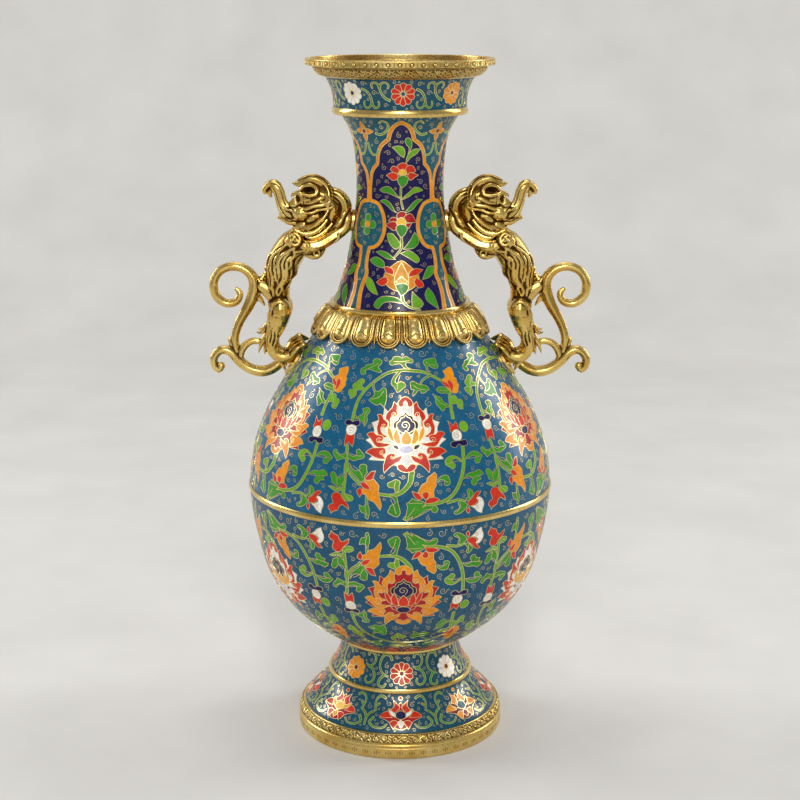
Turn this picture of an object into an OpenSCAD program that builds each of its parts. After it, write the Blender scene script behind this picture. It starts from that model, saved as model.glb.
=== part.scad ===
// Cloisonne vase with gilt beast handles.
// A copper vase raised in sections, each skinned with enamel, with gilt bronze rings over the joints
// and two cast beasts bolted to the neck and the shoulder.
// Millimetres, +Z up. The origin is the centre of the foot's underside. The handles lie along X,
// and the front of the vase is its -Y side.

/* [Heights] */
// Top of the mouth rim
rim_top = 560; // [560:0.1:562]
// Underside of the mouth rim's upper band
rim_under = 554.8; // [554.4:0.1:555.2]
// Joint between the mouth band and the collar
collar_top = 545.6; // [545:0.1:546]
// Joint between the collar and the neck
neck_top = 517.2; // [516.8:0.1:517.4]
// Middle of the ring round the base of the neck
neck_base = 364.2; // [363.8:0.1:364.6]
// Scalloped lower edge of the petal collar
petal_bottom = 339.5; // [336:0.5:344]
// Middle of the belt where the two halves of the body meet
belt_z = 213; // [212:0.5:214]
// Joint between the body and the foot
foot_top = 78.3; // [77.8:0.1:78.8]
// Middle of the bead that divides the foot's two enamel zones
foot_bead_z = 47.8; // [47.4:0.1:48.2]
// Top edge of the gilt foot band
foot_band_top = 20.5; // [20:0.5:21]

/* [Wall] */
// Thickness of the enamel skin
enamel = 1.2; // [0.8:0.1:1.6]
// Thickness of the copper under the enamel
copper = 2; // [1.6:0.1:2.4]
// Thickness of the copper bands soldered inside the joints
sleeve = 1.2; // [0.8:0.1:1.6]

/* [Mouth] */
// Outer radius of the mouth rim
rim_r = 75.5; // [75:0.1:76]
// Clear radius of the mouth
mouth_r = 72; // [71.5:0.1:72.4]

/* [Foot] */
// Largest radius of the foot rim
foot_r = 87; // [86:0.5:88]
// Depth of the base plate above the ground
base_recess = 5; // [3:0.5:7]

/* [Petal collar] */
// Number of lotus petals round the shoulder
petals = 20; // [16:1:24]

/* [Fasteners] */
// Radius of the threaded studs that hold the handles
stud_r = 2.5; // [2:0.1:3]
// Clearance round a stud in the vase wall
stud_gap = 0.3; // [0.2:0.1:0.5]
// Length of a stud inward from the face of the enamel
stud_len = 11; // [10:0.5:12]

/* [Hidden] */

$fn = 96;

gilt = "goldenrod";
teal = "steelblue";
navy = "midnightblue";
bare_copper = "saddlebrown";

bands = 4;              // straight bands between two control points of a wall's profile
bead_out = 1.3;         // how far a plain ring stands out from the enamel
neck_bead_out = 2.6;    // how far the ring round the neck's base stands out
bead_half = 2.4;        // half the height of a plain ring
bead_round = 3.6;       // radius of a plain ring's rounded face
foot_bead_half = 2.1;   // half the height of the foot's bead
joint_bead_half = 1.75; // half the height of the ring between body and foot
joint_bead_r = 50.9;    // outer radius of that ring
collar_bead_half = 2.8; // half the height of the bead under the collar
collar_bead_r = 54.3;   // outer radius of that bead
bead_root = 8;          // how far a ring's section reaches in from its outer face
floor_z = 84;           // upper face of the disc that closes the body
neck_top_bore = 44;     // clear radius of the collar's flange
petal_top_r = 58.6;     // radius of the petal collar at its upper edge
petal_tip_r = 10.4;     // radius of a petal's round tip

// Outer profiles of the enamelled zones, as [z, r] points that a smooth curve runs through
collar_line = [[neck_top, 53.1], [526, 53.2], [534, 54.3], [540, 56.5], [collar_top, 59.4]];
neck_line = [[neck_base, 55], [380, 49.1], [400, 43.2], [425, 38.4], [455, 34.9],
             [485, 36.2], [503, 39.8], [neck_top, 47.8]];
upper_line = [[belt_z, 125], [230, 123.9], [250, 120], [275, 110.4], [290, 102.4], [305, 93],
              [320, 83], [335, 73.2], [350, 63.6], [neck_base, 55]];
lower_line = [[foot_top, 49.5], [90, 69], [112, 93.3], [140, 110.6], [170, 119.2], [195, 123.8],
              [belt_z, 125]];
foot_line = [[foot_band_top - 3, 82.6], [24, 79.4], [30, 74], [36, 67.4], [42, 62.4],
             [foot_bead_z, 59.8], [54, 56.8], [62, 52.9], [70, 50], [foot_top, 48.6]];

// ---- curves -------------------------------------------------------------------------------

// Point at t between b and c on a smooth curve through a, b, c and d
function between(a, b, c, d, t) =
    0.5 * (2 * b + (c - a) * t + (2 * a - 5 * b + 4 * c - d) * t * t
           + (3 * b - a - 3 * c + d) * t * t * t);

// A smooth curve through every point of pts, in steps straight pieces each
function smooth(pts, steps) = let (last = len(pts) - 1) [
    for (i = [0 : last - 1], s = [0 : steps - 1])
        between(pts[max(i - 1, 0)], pts[i], pts[i + 1], pts[min(i + 2, last)], s / steps),
    pts[last]
];

function unit(v) = v / norm(v);

// The curve's direction at its point i
function heading(line, i) = unit(line[min(i + 1, len(line) - 1)] - line[max(i - 1, 0)]);

// A profile moved inward by d, square to itself, with its two ends kept at their heights
function inward(line, d) = [
    for (i = [0 : len(line) - 1])
        let (t = heading(line, i), end = i == 0 || i == len(line) - 1)
        end ? [line[i][0], line[i][1] - d / t[0]] : line[i] + d * [t[1], -t[0]]
];

// Radius of a profile at height z
function radius_at(line, z) = lookup(z, line);

function flipped(line) = [for (i = [len(line) - 1 : -1 : 0]) line[i]];

// ---- solids of revolution -----------------------------------------------------------------

// Half section of everything inside a profile
module inside_of(line) {
    low = line[0][0];
    high = line[len(line) - 1][0];
    polygon([[0, low], for (p = line) [p[1], p[0]], [0, high]]);
}

// The wall between the depths d0 and d1 under a profile, from z0 to z1
module wall(points, d0, d1, z0, z1) {
    line = smooth(points, bands);
    rotate_extrude()
        intersection() {
            polygon([for (p = inward(line, d0)) [p[1], p[0]],
                     for (p = flipped(inward(line, d1))) [p[1], p[0]]]);
            translate([0, z0]) square([2 * foot_r, z1 - z0]);
        }
}

// Half section of a bead with a rounded outer face, centred on the height z
module bead_section(outer, z, half, round_r = bead_round) {
    intersection() {
        union() {
            translate([outer - round_r, z]) circle(round_r, $fn = 48);
            translate([outer - bead_root, z - half]) square([bead_root - round_r, 2 * half]);
        }
        translate([outer - bead_root, z - half]) square([bead_root, 2 * half]);
    }
}

// A bead on a profile, at height z, set into the enamel down to the copper
module plain_ring(points, z, half, out) {
    line = smooth(points, bands);
    rotate_extrude()
        difference() {
            bead_section(radius_at(line, z) + out, z, half);
            inside_of(inward(line, enamel));
        }
}

// ---- shell --------------------------------------------------------------------------------

module mouth_rim() color(gilt)
    rotate_extrude()
        polygon([[mouth_r, rim_under + 0.2], [mouth_r, rim_top - 0.2], [mouth_r + 0.4, rim_top],
                 [rim_r - 0.5, rim_top], [rim_r, rim_top - 0.5], [rim_r, rim_under + 0.5],
                 [rim_r - 0.5, rim_under], [67, rim_under], [67, rim_under + 0.2]]);

module mouth_band() color(gilt)
    rotate_extrude()
        polygon([[56.5, collar_top], [60.6, collar_top], [62, collar_top + 0.4],
                 [65.2, collar_top + 1.9], [67.8, collar_top + 4.2], [69.2, collar_top + 6.6],
                 [69.5, rim_under - 1], [68.8, rim_under], [67, rim_under],
                 [66.2, collar_top + 6.4], [63.6, collar_top + 3.4]]);

module collar_enamel() color(teal)
    wall(collar_line, 0, enamel, neck_top + 2 * collar_bead_half - 0.6, collar_top);

// The collar is a cup: its flange rests on the top of the neck
module collar_core() color(bare_copper) {
    line = smooth(collar_line, bands);
    inner = inward(line, enamel + copper);
    rotate_extrude()
        union() {
            intersection() {
                polygon([for (p = inward(line, enamel)) [p[1], p[0]],
                         for (p = flipped(inner)) [p[1], p[0]]]);
                translate([0, neck_top]) square([foot_r, collar_top - neck_top]);
            }
            translate([neck_top_bore, neck_top])
                square([radius_at(inner, neck_top) + 0.5 - neck_top_bore, copper]);
        }
}

module collar_bead() color(gilt)
    rotate_extrude()
        difference() {
            bead_section(collar_bead_r, neck_top + collar_bead_half - 0.6, collar_bead_half, 4.5);
            inside_of(inward(smooth(collar_line, bands), enamel));
            inside_of(smooth(neck_line, bands));
        }

module neck_enamel() color(navy)
    difference() {
        wall(neck_line, 0, enamel, neck_base + bead_half, neck_top);
        neck_stud_holes();
    }

module neck_core() color(bare_copper)
    difference() {
        wall(neck_line, enamel, enamel + copper, neck_base, neck_top);
        neck_stud_holes();
    }

module neck_base_ring() color(gilt)
    difference() {
        plain_ring(neck_line, neck_base, bead_half, neck_bead_out);
        rotate_extrude() inside_of(inward(smooth(upper_line, bands), enamel));
    }

// A band soldered inside the joint of neck and body
module neck_joint_sleeve() color(bare_copper) {
    wall(neck_line, enamel + copper, enamel + copper + sleeve, neck_base, neck_base + 12);
    wall(upper_line, enamel + copper, enamel + copper + sleeve, neck_base - 11, neck_base);
}

// Lotus petals standing on the shoulder: each is a pad with a round tip, cut to the shoulder's own
// slope, over a plain conical ring
module petal_collar() color(gilt) {
    shoulder = smooth(upper_line, bands);
    top = neck_base - bead_half;
    inner = petal_top_r - 15;
    pitch = 360 / petals;
    difference() {
        rotate_extrude()
            polygon([[inner, top], [petal_top_r, top], [63, top - 3], [67.2, top - 8],
                     [70.6, top - 14], [72.8, petal_bottom + 3], [inner, petal_bottom + 3]]);
        rotate_extrude() inside_of(shoulder);
    }
    intersection() {
        difference() {
            rotate_extrude()
                polygon([[inner, top - 4], [64.6, top - 4], [68.8, top - 9], [72.4, top - 15],
                         [75.2, petal_bottom], [inner, petal_bottom]]);
            rotate_extrude() inside_of(shoulder);
        }
        for (i = [0 : petals - 1])
            rotate([0, 0, (i + 0.5) * pitch])
                translate([inner, 0, petal_bottom + petal_tip_r])
                    rotate([0, 90, 0]) cylinder(r = petal_tip_r, h = foot_r - inner, $fn = 48);
    }
}

module upper_body_enamel() color(teal)
    difference() {
        wall(upper_line, 0, enamel, belt_z + bead_half, neck_base - bead_half);
        shoulder_stud_holes();
    }

module upper_body_core() color(bare_copper)
    difference() {
        wall(upper_line, enamel, enamel + copper, belt_z, neck_base);
        shoulder_stud_holes();
    }

module waist_joint_sleeve() color(bare_copper) {
    wall(upper_line, enamel + copper, enamel + copper + sleeve, belt_z, belt_z + 10);
    wall(lower_line, enamel + copper, enamel + copper + sleeve, belt_z - 10, belt_z);
}

module belt_ring() color(gilt)
    plain_ring(upper_line, belt_z, bead_half, bead_out);

module lower_body_enamel() color(teal)
    wall(lower_line, 0, enamel, foot_top + joint_bead_half, belt_z - bead_half);

module lower_body_core() color(bare_copper)
    wall(lower_line, enamel, enamel + copper, foot_top + 1, belt_z);

// The disc that closes the body above the hollow foot
module body_floor() color(bare_copper) {
    line = inward(smooth(lower_line, bands), enamel + copper);
    rotate_extrude()
        intersection() {
            inside_of(line);
            translate([0, floor_z - copper]) square([foot_r, copper]);
        }
}

module foot_joint_sleeve() color(bare_copper)
    wall(foot_line, enamel + copper, enamel + copper + sleeve, foot_top - 14, foot_top);

module foot_joint_ring() color(gilt)
    rotate_extrude()
        difference() {
            bead_section(joint_bead_r, foot_top, joint_bead_half, 2.6);
            inside_of(inward(smooth(foot_line, bands), enamel));
            inside_of(inward(smooth(lower_line, bands), enamel));
        }

module foot_stem_enamel() color(teal)
    wall(foot_line, 0, enamel, foot_bead_z + foot_bead_half, foot_top - joint_bead_half);

module foot_core() color(bare_copper)
    wall(foot_line, enamel, enamel + copper, foot_band_top - 2, foot_top);

module foot_bead() color(gilt)
    plain_ring(foot_line, foot_bead_z, foot_bead_half, bead_out);

module foot_flare_enamel() color(teal)
    wall(foot_line, 0, enamel, foot_band_top, foot_bead_z - foot_bead_half);

// The chased upper band of the foot
module foot_band() color(gilt)
    rotate_extrude()
        difference() {
            polygon([[76, foot_band_top - 8], [86.4, foot_band_top - 8],
                     [85.6, foot_band_top - 4], [84.2, foot_band_top - 1],
                     [83, foot_band_top], [76, foot_band_top]]);
            inside_of(inward(smooth(foot_line, bands), enamel));
            translate([0, foot_band_top - 9]) square([78, 7]);
        }

// The moulding that the vase stands on
module foot_rim() color(gilt)
    rotate_extrude()
        polygon([[78, 0], [foot_r - 1.2, 0], [foot_r - 0.2, 1], [foot_r, 4], [foot_r - 0.4, 9],
                 [foot_r - 0.2, 10], [foot_r, 11], [foot_r - 0.2, 12],
                 [foot_r - 0.8, foot_band_top - 8], [78, foot_band_top - 8],
                 [78, base_recess + copper], [80, base_recess + copper], [80, base_recess],
                 [78, base_recess]]);

module base_plate() color(gilt)
    translate([0, 0, base_recess]) cylinder(r = 79.9, h = copper, $fn = 128);

// ---- handle fasteners ---------------------------------------------------------------------

neck_pad_z = 431;       // height of the upper stud
shoulder_pad_z = 315;   // height of the lower stud
upper_smooth = smooth(upper_line, bands);
neck_smooth = smooth(neck_line, bands);
neck_pad_r = radius_at(neck_smooth, neck_pad_z);
shoulder_pad_r = radius_at(upper_smooth, shoulder_pad_z);
// Slope of the shoulder where the lower pad sits, as a turn about Y from the level
shoulder_tilt = atan2(radius_at(upper_smooth, shoulder_pad_z - 4)
                      - radius_at(upper_smooth, shoulder_pad_z + 4), 8);
pad_gap = 0.3;          // play between a pad and the enamel
pad_thick = 2.2;        // how far a pad's outer face stands from the enamel

// Puts a child that points along -X, and starts at the vase's surface, at a stud's place
module at_neck_stud() translate([-neck_pad_r, 0, neck_pad_z]) children();
module at_shoulder_stud()
    translate([-shoulder_pad_r, 0, shoulder_pad_z]) rotate([0, shoulder_tilt, 0]) children();

module each_side() {
    children();
    mirror([1, 0, 0]) children();
}

module rod_inward(r, from, to, fn = 48)
    translate([from, 0, 0]) rotate([0, 90, 0]) cylinder(r = r, h = to - from, $fn = fn);

module neck_stud_holes()
    each_side() at_neck_stud() rod_inward(stud_r + stud_gap, -3, 9);
module shoulder_stud_holes()
    each_side() at_shoulder_stud() rod_inward(stud_r + stud_gap, -4, 9);

module handle_studs() color(gilt)
    each_side() {
        at_neck_stud() rod_inward(stud_r, -pad_gap, stud_len);
        at_shoulder_stud() rod_inward(stud_r, -pad_gap, stud_len);
    }

module washer() difference() {
    rod_inward(5.6, 5.2, 6.2);
    rod_inward(stud_r + stud_gap, 5, 7);
}
module nut() difference() {
    rod_inward(4.6, 6.2, 9.4, 6);
    rod_inward(stud_r, 6, 10);
}

module stud_washers() color("silver")
    each_side() {
        at_neck_stud() washer();
        at_shoulder_stud() washer();
    }

module stud_nuts() color("silver")
    each_side() {
        at_neck_stud() nut();
        at_shoulder_stud() nut();
    }

module left_neck_pad() color(gilt)
    intersection() {
        wall(neck_line, -pad_thick, -pad_gap, neck_pad_z - 12, neck_pad_z + 12);
        at_neck_stud() rod_inward(9, -8, 12);
    }

module left_shoulder_pad() color(gilt)
    intersection() {
        wall(upper_line, -pad_thick, -pad_gap, shoulder_pad_z - 18, shoulder_pad_z + 20);
        at_shoulder_stud() rod_inward(13.5, -8, 12);
    }

// ---- beasts -------------------------------------------------------------------------------

sides = 12;   // facets round a limb
steps = 3;    // pieces between two control points of a limb

// A limb of round section swept along [x, y, z, radius] points
module limb(points, wide = 1) {
    line = smooth(points, steps);
    last = len(line) - 1;
    function place(i) = [line[i][0], line[i][1], line[i][2]];
    function along(i) = unit(place(min(i + 1, last)) - place(max(i - 1, 0)));
    function ring(i) = let (t = along(i), u = unit(cross(t, [0, 1, 0])), v = cross(t, u)) [
        for (k = [0 : sides - 1])
            place(i) + line[i][3] * (cos(360 * k / sides) * u + wide * sin(360 * k / sides) * v)
    ];
    polyhedron(
        points = [for (i = [0 : last]) each ring(i)],
        faces = [
            [for (k = [0 : sides - 1]) k],
            for (i = [0 : last - 1], k = [0 : sides - 1])
                let (a = i * sides + k, b = i * sides + (k + 1) % sides)
                [a, a + sides, b + sides, b],
            [for (k = [sides - 1 : -1 : 0]) last * sides + k]
        ]
    );
}

// Everything the vase fills, so that no limb reaches into it
module vase_body(gap) {
    rotate_extrude() inside_of(inward(smooth(neck_line, bands), -gap));
    rotate_extrude() inside_of(inward(smooth(upper_line, bands), -gap));
}

torso = [[-79, 0, 423, 7], [-83, 0, 415, 12], [-91, 0, 404, 13.4], [-96.5, 0, 392, 12.6],
         [-99, 0, 380, 10], [-98.6, 0, 369, 8.6], [-98.6, 0, 360, 9.6], [-98.6, 0, 352, 6]];
head = [[-84.5, 0, 447, 3], [-79, 0, 447, 9], [-71, 0, 449, 12], [-63, 0, 448, 12.5],
        [-57, 0, 441, 10], [-59, 0, 432, 8], [-66, 0, 427, 6]];
trunk = [[-74, 0, 436, 7.5], [-84, 0, 435, 7], [-91.5, 0, 437, 5.2], [-96.2, 0, 445, 4],
         [-97.4, 0, 452.6, 3.6], [-101.4, 0, 456.8, 2.8], [-105.2, 0, 453.2, 1.9],
         [-103.4, 0, 449.6, 1.4]];
mane = [[-58, 0, 455, 3], [-50.5, 0, 452.4, 4.6], [-45, 0, 446.4, 5.2], [-44.4, 0, 438.4, 5.2],
        [-49, 0, 430.6, 4.4], [-56, 0, 424, 2.6]];
foreleg = [[-84, -9, 414, 5.5], [-76, -11, 411, 6.4], [-65.5, -11, 412.6, 5.4],
           [-54, -9.5, 419, 5.2], [-45, -8, 425.4, 4.8], [-42.4, -6.6, 432.6, 5.4],
           [-42, -6, 438, 3]];
hind_leg = [[-99, -7, 363, 5], [-98.6, -8.5, 356, 9.4], [-101, -9, 346, 8],
            [-104.6, -9, 335, 5.6], [-103.4, -8.6, 324.6, 5], [-95.6, -8, 319.4, 5.2],
            [-87, -8, 323, 5], [-80.4, -8, 329.4, 3.4]];
tail = [[-134, 0, 322.6, 3], [-135.4, 0, 332, 3.3], [-134, 0, 341, 3.5], [-129.6, 0, 351, 3.8],
        [-123.4, 0, 361.6, 4.6], [-118.6, 0, 374, 5.2], [-119.6, 0, 384, 4.6],
        [-126, 0, 391, 3.9], [-136, 0, 393.6, 3.7], [-146.6, 0, 389.6, 3.6],
        [-151.8, 0, 380, 3.6], [-150, 0, 369.4, 3.6], [-142, 0, 363, 3.5],
        [-133.4, 0, 364.6, 3.3], [-130.6, 0, 371.4, 2.8], [-134.6, 0, 375.6, 1.6]];
tail_root = [[-99, 0, 370, 6.5], [-107, 0, 374.4, 6.6], [-115, 0, 378.6, 5.2]];
scroll = [[-146.4, 0, 311.4, 3], [-149.6, 0, 307.4, 3], [-153, 0, 312, 3.2],
          [-152.4, 0, 319, 3.4], [-146.4, 0, 324.4, 3.6], [-138.6, 0, 322, 4],
          [-131, 0, 313.6, 4.2], [-121, 0, 307.4, 4.4], [-110, 0, 306.6, 4.6],
          [-100.6, 0, 311.6, 4.4], [-96, 0, 316.4, 3.2]];
scroll_loop = [[-132, 0, 316, 3.2], [-130, 0, 324, 3.2], [-124, 0, 330.4, 3],
               [-116, 0, 331.4, 2.8], [-109, 0, 326.4, 2], [-107, 0, 321.4, 1.2]];

function other_side(points) = [for (p = points) [p[0], -p[1], p[2], p[3]]];

module both_limbs(points, wide = 1) {
    limb(points, wide);
    limb(other_side(points), wide);
}

module left_beast_torso() color(gilt)
    limb(torso, 1.05);

module left_beast_head() color(gilt)
    difference() {
        limb(head, 1.05);
        limb(torso, 1.05);
    }

module left_beast_trunk() color(gilt)
    difference() {
        limb(trunk, 0.9);
        limb(head, 1.05);
    }

module left_beast_mane() color(gilt)
    difference() {
        limb(mane, 1.4);
        limb(head, 1.05);
    }

module left_beast_forelegs() color(gilt)
    difference() {
        both_limbs(foreleg);
        limb(torso, 1.05);
        limb(mane, 1.4);
        vase_body(pad_thick + 0.1);
    }

module left_beast_hind_legs() color(gilt)
    difference() {
        both_limbs(hind_leg);
        limb(torso, 1.05);
        vase_body(pad_thick + 0.1);
    }

module left_beast_tail() color(gilt)
    difference() {
        union() {
            limb(tail);
            limb(tail_root);
        }
        limb(torso, 1.05);
    }

module left_tail_scroll() color(gilt)
    difference() {
        union() {
            limb(scroll);
            limb(scroll_loop);
        }
        limb(tail);
        both_limbs(hind_leg);
        vase_body(pad_thick + 0.1);
    }

module right_neck_pad() mirror([1, 0, 0]) left_neck_pad();
module right_shoulder_pad() mirror([1, 0, 0]) left_shoulder_pad();
module right_beast_torso() mirror([1, 0, 0]) left_beast_torso();
module right_beast_head() mirror([1, 0, 0]) left_beast_head();
module right_beast_trunk() mirror([1, 0, 0]) left_beast_trunk();
module right_beast_mane() mirror([1, 0, 0]) left_beast_mane();
module right_beast_forelegs() mirror([1, 0, 0]) left_beast_forelegs();
module right_beast_hind_legs() mirror([1, 0, 0]) left_beast_hind_legs();
module right_beast_tail() mirror([1, 0, 0]) left_beast_tail();
module right_tail_scroll() mirror([1, 0, 0]) left_tail_scroll();

mouth_rim();
mouth_band();
collar_enamel();
collar_core();
collar_bead();
neck_enamel();
neck_core();
neck_joint_sleeve();
neck_base_ring();
petal_collar();
upper_body_enamel();
upper_body_core();
waist_joint_sleeve();
belt_ring();
lower_body_enamel();
lower_body_core();
body_floor();
foot_joint_sleeve();
foot_joint_ring();
foot_stem_enamel();
foot_core();
foot_bead();
foot_flare_enamel();
foot_band();
foot_rim();
base_plate();
left_neck_pad();
left_shoulder_pad();
left_beast_torso();
left_beast_head();
left_beast_trunk();
left_beast_mane();
left_beast_forelegs();
left_beast_hind_legs();
left_beast_tail();
left_tail_scroll();
right_neck_pad();
right_shoulder_pad();
right_beast_torso();
right_beast_head();
right_beast_trunk();
right_beast_mane();
right_beast_forelegs();
right_beast_hind_legs();
right_beast_tail();
right_tail_scroll();
handle_studs();
stud_washers();
stud_nuts();
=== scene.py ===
import math
import random

import bmesh
import bpy
import numpy as np
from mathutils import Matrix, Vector
from mathutils.bvhtree import BVHTree
from mathutils.geometry import delaunay_2d_cdt
from mathutils.kdtree import KDTree


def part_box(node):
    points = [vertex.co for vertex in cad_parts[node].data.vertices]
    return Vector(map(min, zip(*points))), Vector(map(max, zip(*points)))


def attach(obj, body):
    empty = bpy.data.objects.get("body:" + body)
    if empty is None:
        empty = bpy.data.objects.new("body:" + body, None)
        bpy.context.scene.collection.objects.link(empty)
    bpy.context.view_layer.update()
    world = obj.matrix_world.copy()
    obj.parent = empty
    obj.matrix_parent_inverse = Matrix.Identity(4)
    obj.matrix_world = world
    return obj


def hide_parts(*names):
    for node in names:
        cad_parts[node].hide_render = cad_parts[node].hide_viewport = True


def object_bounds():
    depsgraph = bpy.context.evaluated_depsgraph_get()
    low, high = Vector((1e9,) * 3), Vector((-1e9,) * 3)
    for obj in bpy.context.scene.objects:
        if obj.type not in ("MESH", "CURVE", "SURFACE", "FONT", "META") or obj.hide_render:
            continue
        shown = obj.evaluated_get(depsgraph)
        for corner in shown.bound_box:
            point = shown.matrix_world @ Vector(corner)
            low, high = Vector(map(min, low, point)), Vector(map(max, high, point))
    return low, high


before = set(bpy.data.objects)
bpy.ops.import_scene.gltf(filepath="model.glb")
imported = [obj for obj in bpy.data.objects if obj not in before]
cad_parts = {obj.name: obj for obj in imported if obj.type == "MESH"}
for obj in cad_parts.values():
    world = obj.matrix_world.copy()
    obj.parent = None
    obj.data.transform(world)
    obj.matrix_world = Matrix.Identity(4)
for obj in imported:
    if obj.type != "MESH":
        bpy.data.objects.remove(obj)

cad_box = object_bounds()

# Cloisonne vase. Blender works in metres. Every size below is in millimetres and every angle in
# degrees, and both are turned into metres and radians where the points are placed.
# A place on an enamelled face is (angle round the axis, distance up the face): the angle is 0 at
# the front of the vase and grows towards +X, and the distance starts at the zone's lower end.

MM = 0.001

WIRE_WIDTH = 0.62       # width of an inlaid wire at the enamel's surface
WIRE_TOP = 0.42         # width of its polished top
WIRE_RISE = 0.10        # how far it stands above the enamel
WIRE_ROOT = 0.35        # how far it reaches down into the enamel
WIRE_STEP = 1.1         # length of a straight piece of wire
SHORTEST_WIRE = 0.35    # a shorter piece of wire is left out
CURL_WIDTH = 0.44       # width of the finer wire of the filler curls
CURL_STEP = 0.9         # length of a straight piece of it
CURL_GAP = 0.7          # least distance of a curl from other wires
PAIRED_CURL = 2.4       # a curl at least this large is a pair of spirals
VEIN_INSET = 0.3        # how far a leaf's vein stops short of its tips, as a share
GRID = 3.2              # spacing of the points that an enamel face is built on
OUTLINE_STEP = 1.0      # spacing of the points along a cell's outline
SHARP_TURN = 85.0       # an outline that turns by more than this keeps its corner

# ---- colours ------------------------------------------------------------------------------------


def srgb(red, green, blue):
    """A colour given in 0-255 screen values, as the linear values that a shader uses."""
    linear = []
    for value in (red, green, blue):
        share = value / 255
        linear.append(share / 12.92 if share <= 0.04045 else ((share + 0.055) / 1.055) ** 2.4)
    return (*linear, 1.0)


ENAMEL = {
    "collar_ground": srgb(10, 74, 96),
    "upper_ground": srgb(10, 86, 120),
    "lower_ground": srgb(8, 76, 106),
    "foot_ground": srgb(10, 72, 94),
    "teal": srgb(12, 84, 100),
    "navy": srgb(12, 8, 70),
    "black": srgb(12, 12, 34),
    "orange": srgb(228, 140, 6),
    "amber": srgb(232, 160, 10),
    "yellow": srgb(238, 190, 60),
    "scarlet": srgb(204, 40, 8),
    "crimson": srgb(168, 6, 16),
    "maroon": srgb(120, 22, 20),
    "white": srgb(238, 234, 224),
    "lilac": srgb(206, 200, 226),
    "green": srgb(56, 142, 26),
    "lime": srgb(104, 164, 26),
    "leaf": srgb(76, 152, 28),
}

# ---- lines --------------------------------------------------------------------------------------


def lengths_along(line):
    """The distance of each point of a line from its start, along the line."""
    return np.concatenate(([0.0], np.cumsum(np.hypot(*np.diff(line, axis=0).T))))


def unit_rows(vectors):
    return vectors / (np.linalg.norm(vectors, axis=1)[:, None] + 1e-12)


def sides_of(line):
    """The unit direction to the left of a line in a plane, at each of its points."""
    run = unit_rows(np.gradient(line, axis=0))
    return np.stack((-run[:, 1], run[:, 0]), 1)


def smooth_line(points, closed, step=OUTLINE_STEP, sharp=SHARP_TURN):
    """A smooth line through the points. It keeps a corner wherever they turn sharply."""
    knots = [np.array(point, float) for point in points]
    count = len(knots)
    legs = [knots[(i + 1) % count] - knots[i] for i in range(count)]
    lengths = [max(float(np.linalg.norm(leg)), 1e-6) for leg in legs]
    slopes = [leg / length for leg, length in zip(legs, lengths)]

    def turns_sharply(i):
        if not closed and i in (0, count - 1):
            return True
        cosine = float(np.clip(slopes[i - 1] @ slopes[i], -1, 1))
        return math.degrees(math.acos(cosine)) > sharp

    def tangent(i):
        before, after = lengths[i - 1], lengths[i]
        return (slopes[i - 1] * after + slopes[i] * before) / (before + after)

    corners = [turns_sharply(i) for i in range(count)]
    line = []
    for i in range(count if closed else count - 1):
        j = (i + 1) % count
        start = slopes[i] if corners[i] else tangent(i)
        end = slopes[i] if corners[j] else tangent(j)
        pieces = int(min(max(math.ceil(lengths[i] / step), 2), 12))
        for k in range(pieces):
            t = k / pieces
            rise = t * t * (3 - 2 * t)
            line.append(
                knots[i] * (1 - rise) + knots[j] * rise
                + start * lengths[i] * t * (1 - t) ** 2
                - end * lengths[i] * t * t * (1 - t)
            )
    if not closed:
        line.append(knots[-1])
    return [tuple(point) for point in line]


def mirrored(points, axis=0.0):
    """The points mirrored left to right about an axis."""
    return [(2 * axis - x, y) for x, y in points]


def both_sides(points, axis=0.0):
    """A closed outline from its right half, which runs from the top of the axis to its bottom."""
    left = [(2 * axis - x, y) for x, y in reversed(points) if abs(x - axis) > 1e-6]
    return list(points) + left


def ellipse(centre, radius_x, radius_y, corners=10):
    angles = [2 * math.pi * i / corners for i in range(corners)]
    return [
        (centre[0] + radius_x * math.cos(angle), centre[1] + radius_y * math.sin(angle))
        for angle in angles
    ]


def spiral(centre, radius, turns=1.6, start=0.0, hand=1, inner=0.16):
    """An open line that winds from the radius to near the centre. start is in degrees."""
    count = max(int(turns * 11), 6)
    line = []
    for i in range(count + 1):
        share = i / count
        size = radius * (1 - share * (1 - inner))
        angle = math.radians(start) + hand * 2 * math.pi * turns * share
        line.append((centre[0] + size * math.cos(angle), centre[1] + size * math.sin(angle)))
    return line


def turned_about(points, centre, degrees):
    """The points turned about a centre."""
    turn = math.radians(degrees)
    return [
        (
            centre[0] + (x - centre[0]) * math.cos(turn) - (y - centre[1]) * math.sin(turn),
            centre[1] + (x - centre[0]) * math.sin(turn) + (y - centre[1]) * math.cos(turn),
        )
        for x, y in points
    ]


# ---- the vase's faces ---------------------------------------------------------------------------


def outer_corners(node):
    """(height, radius) of the corners of a turned CAD skin's outer face, from the bottom up. The
    two sides are left out, because the holes for the handles' studs are there."""
    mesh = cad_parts[node].data
    found = {}
    for polygon in mesh.polygons:
        if abs(polygon.center.x) > abs(polygon.center.y):
            continue
        outward = Vector((polygon.center.x, polygon.center.y)).normalized()
        if outward.dot(Vector((polygon.normal.x, polygon.normal.y))) < 0.1:
            continue
        for index in polygon.vertices:
            corner = mesh.vertices[index].co
            height = round(corner.z / MM, 1)
            radius = math.hypot(corner.x, corner.y) / MM
            found[height] = max(found.get(height, 0), radius)
    return sorted(found.items())


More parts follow.
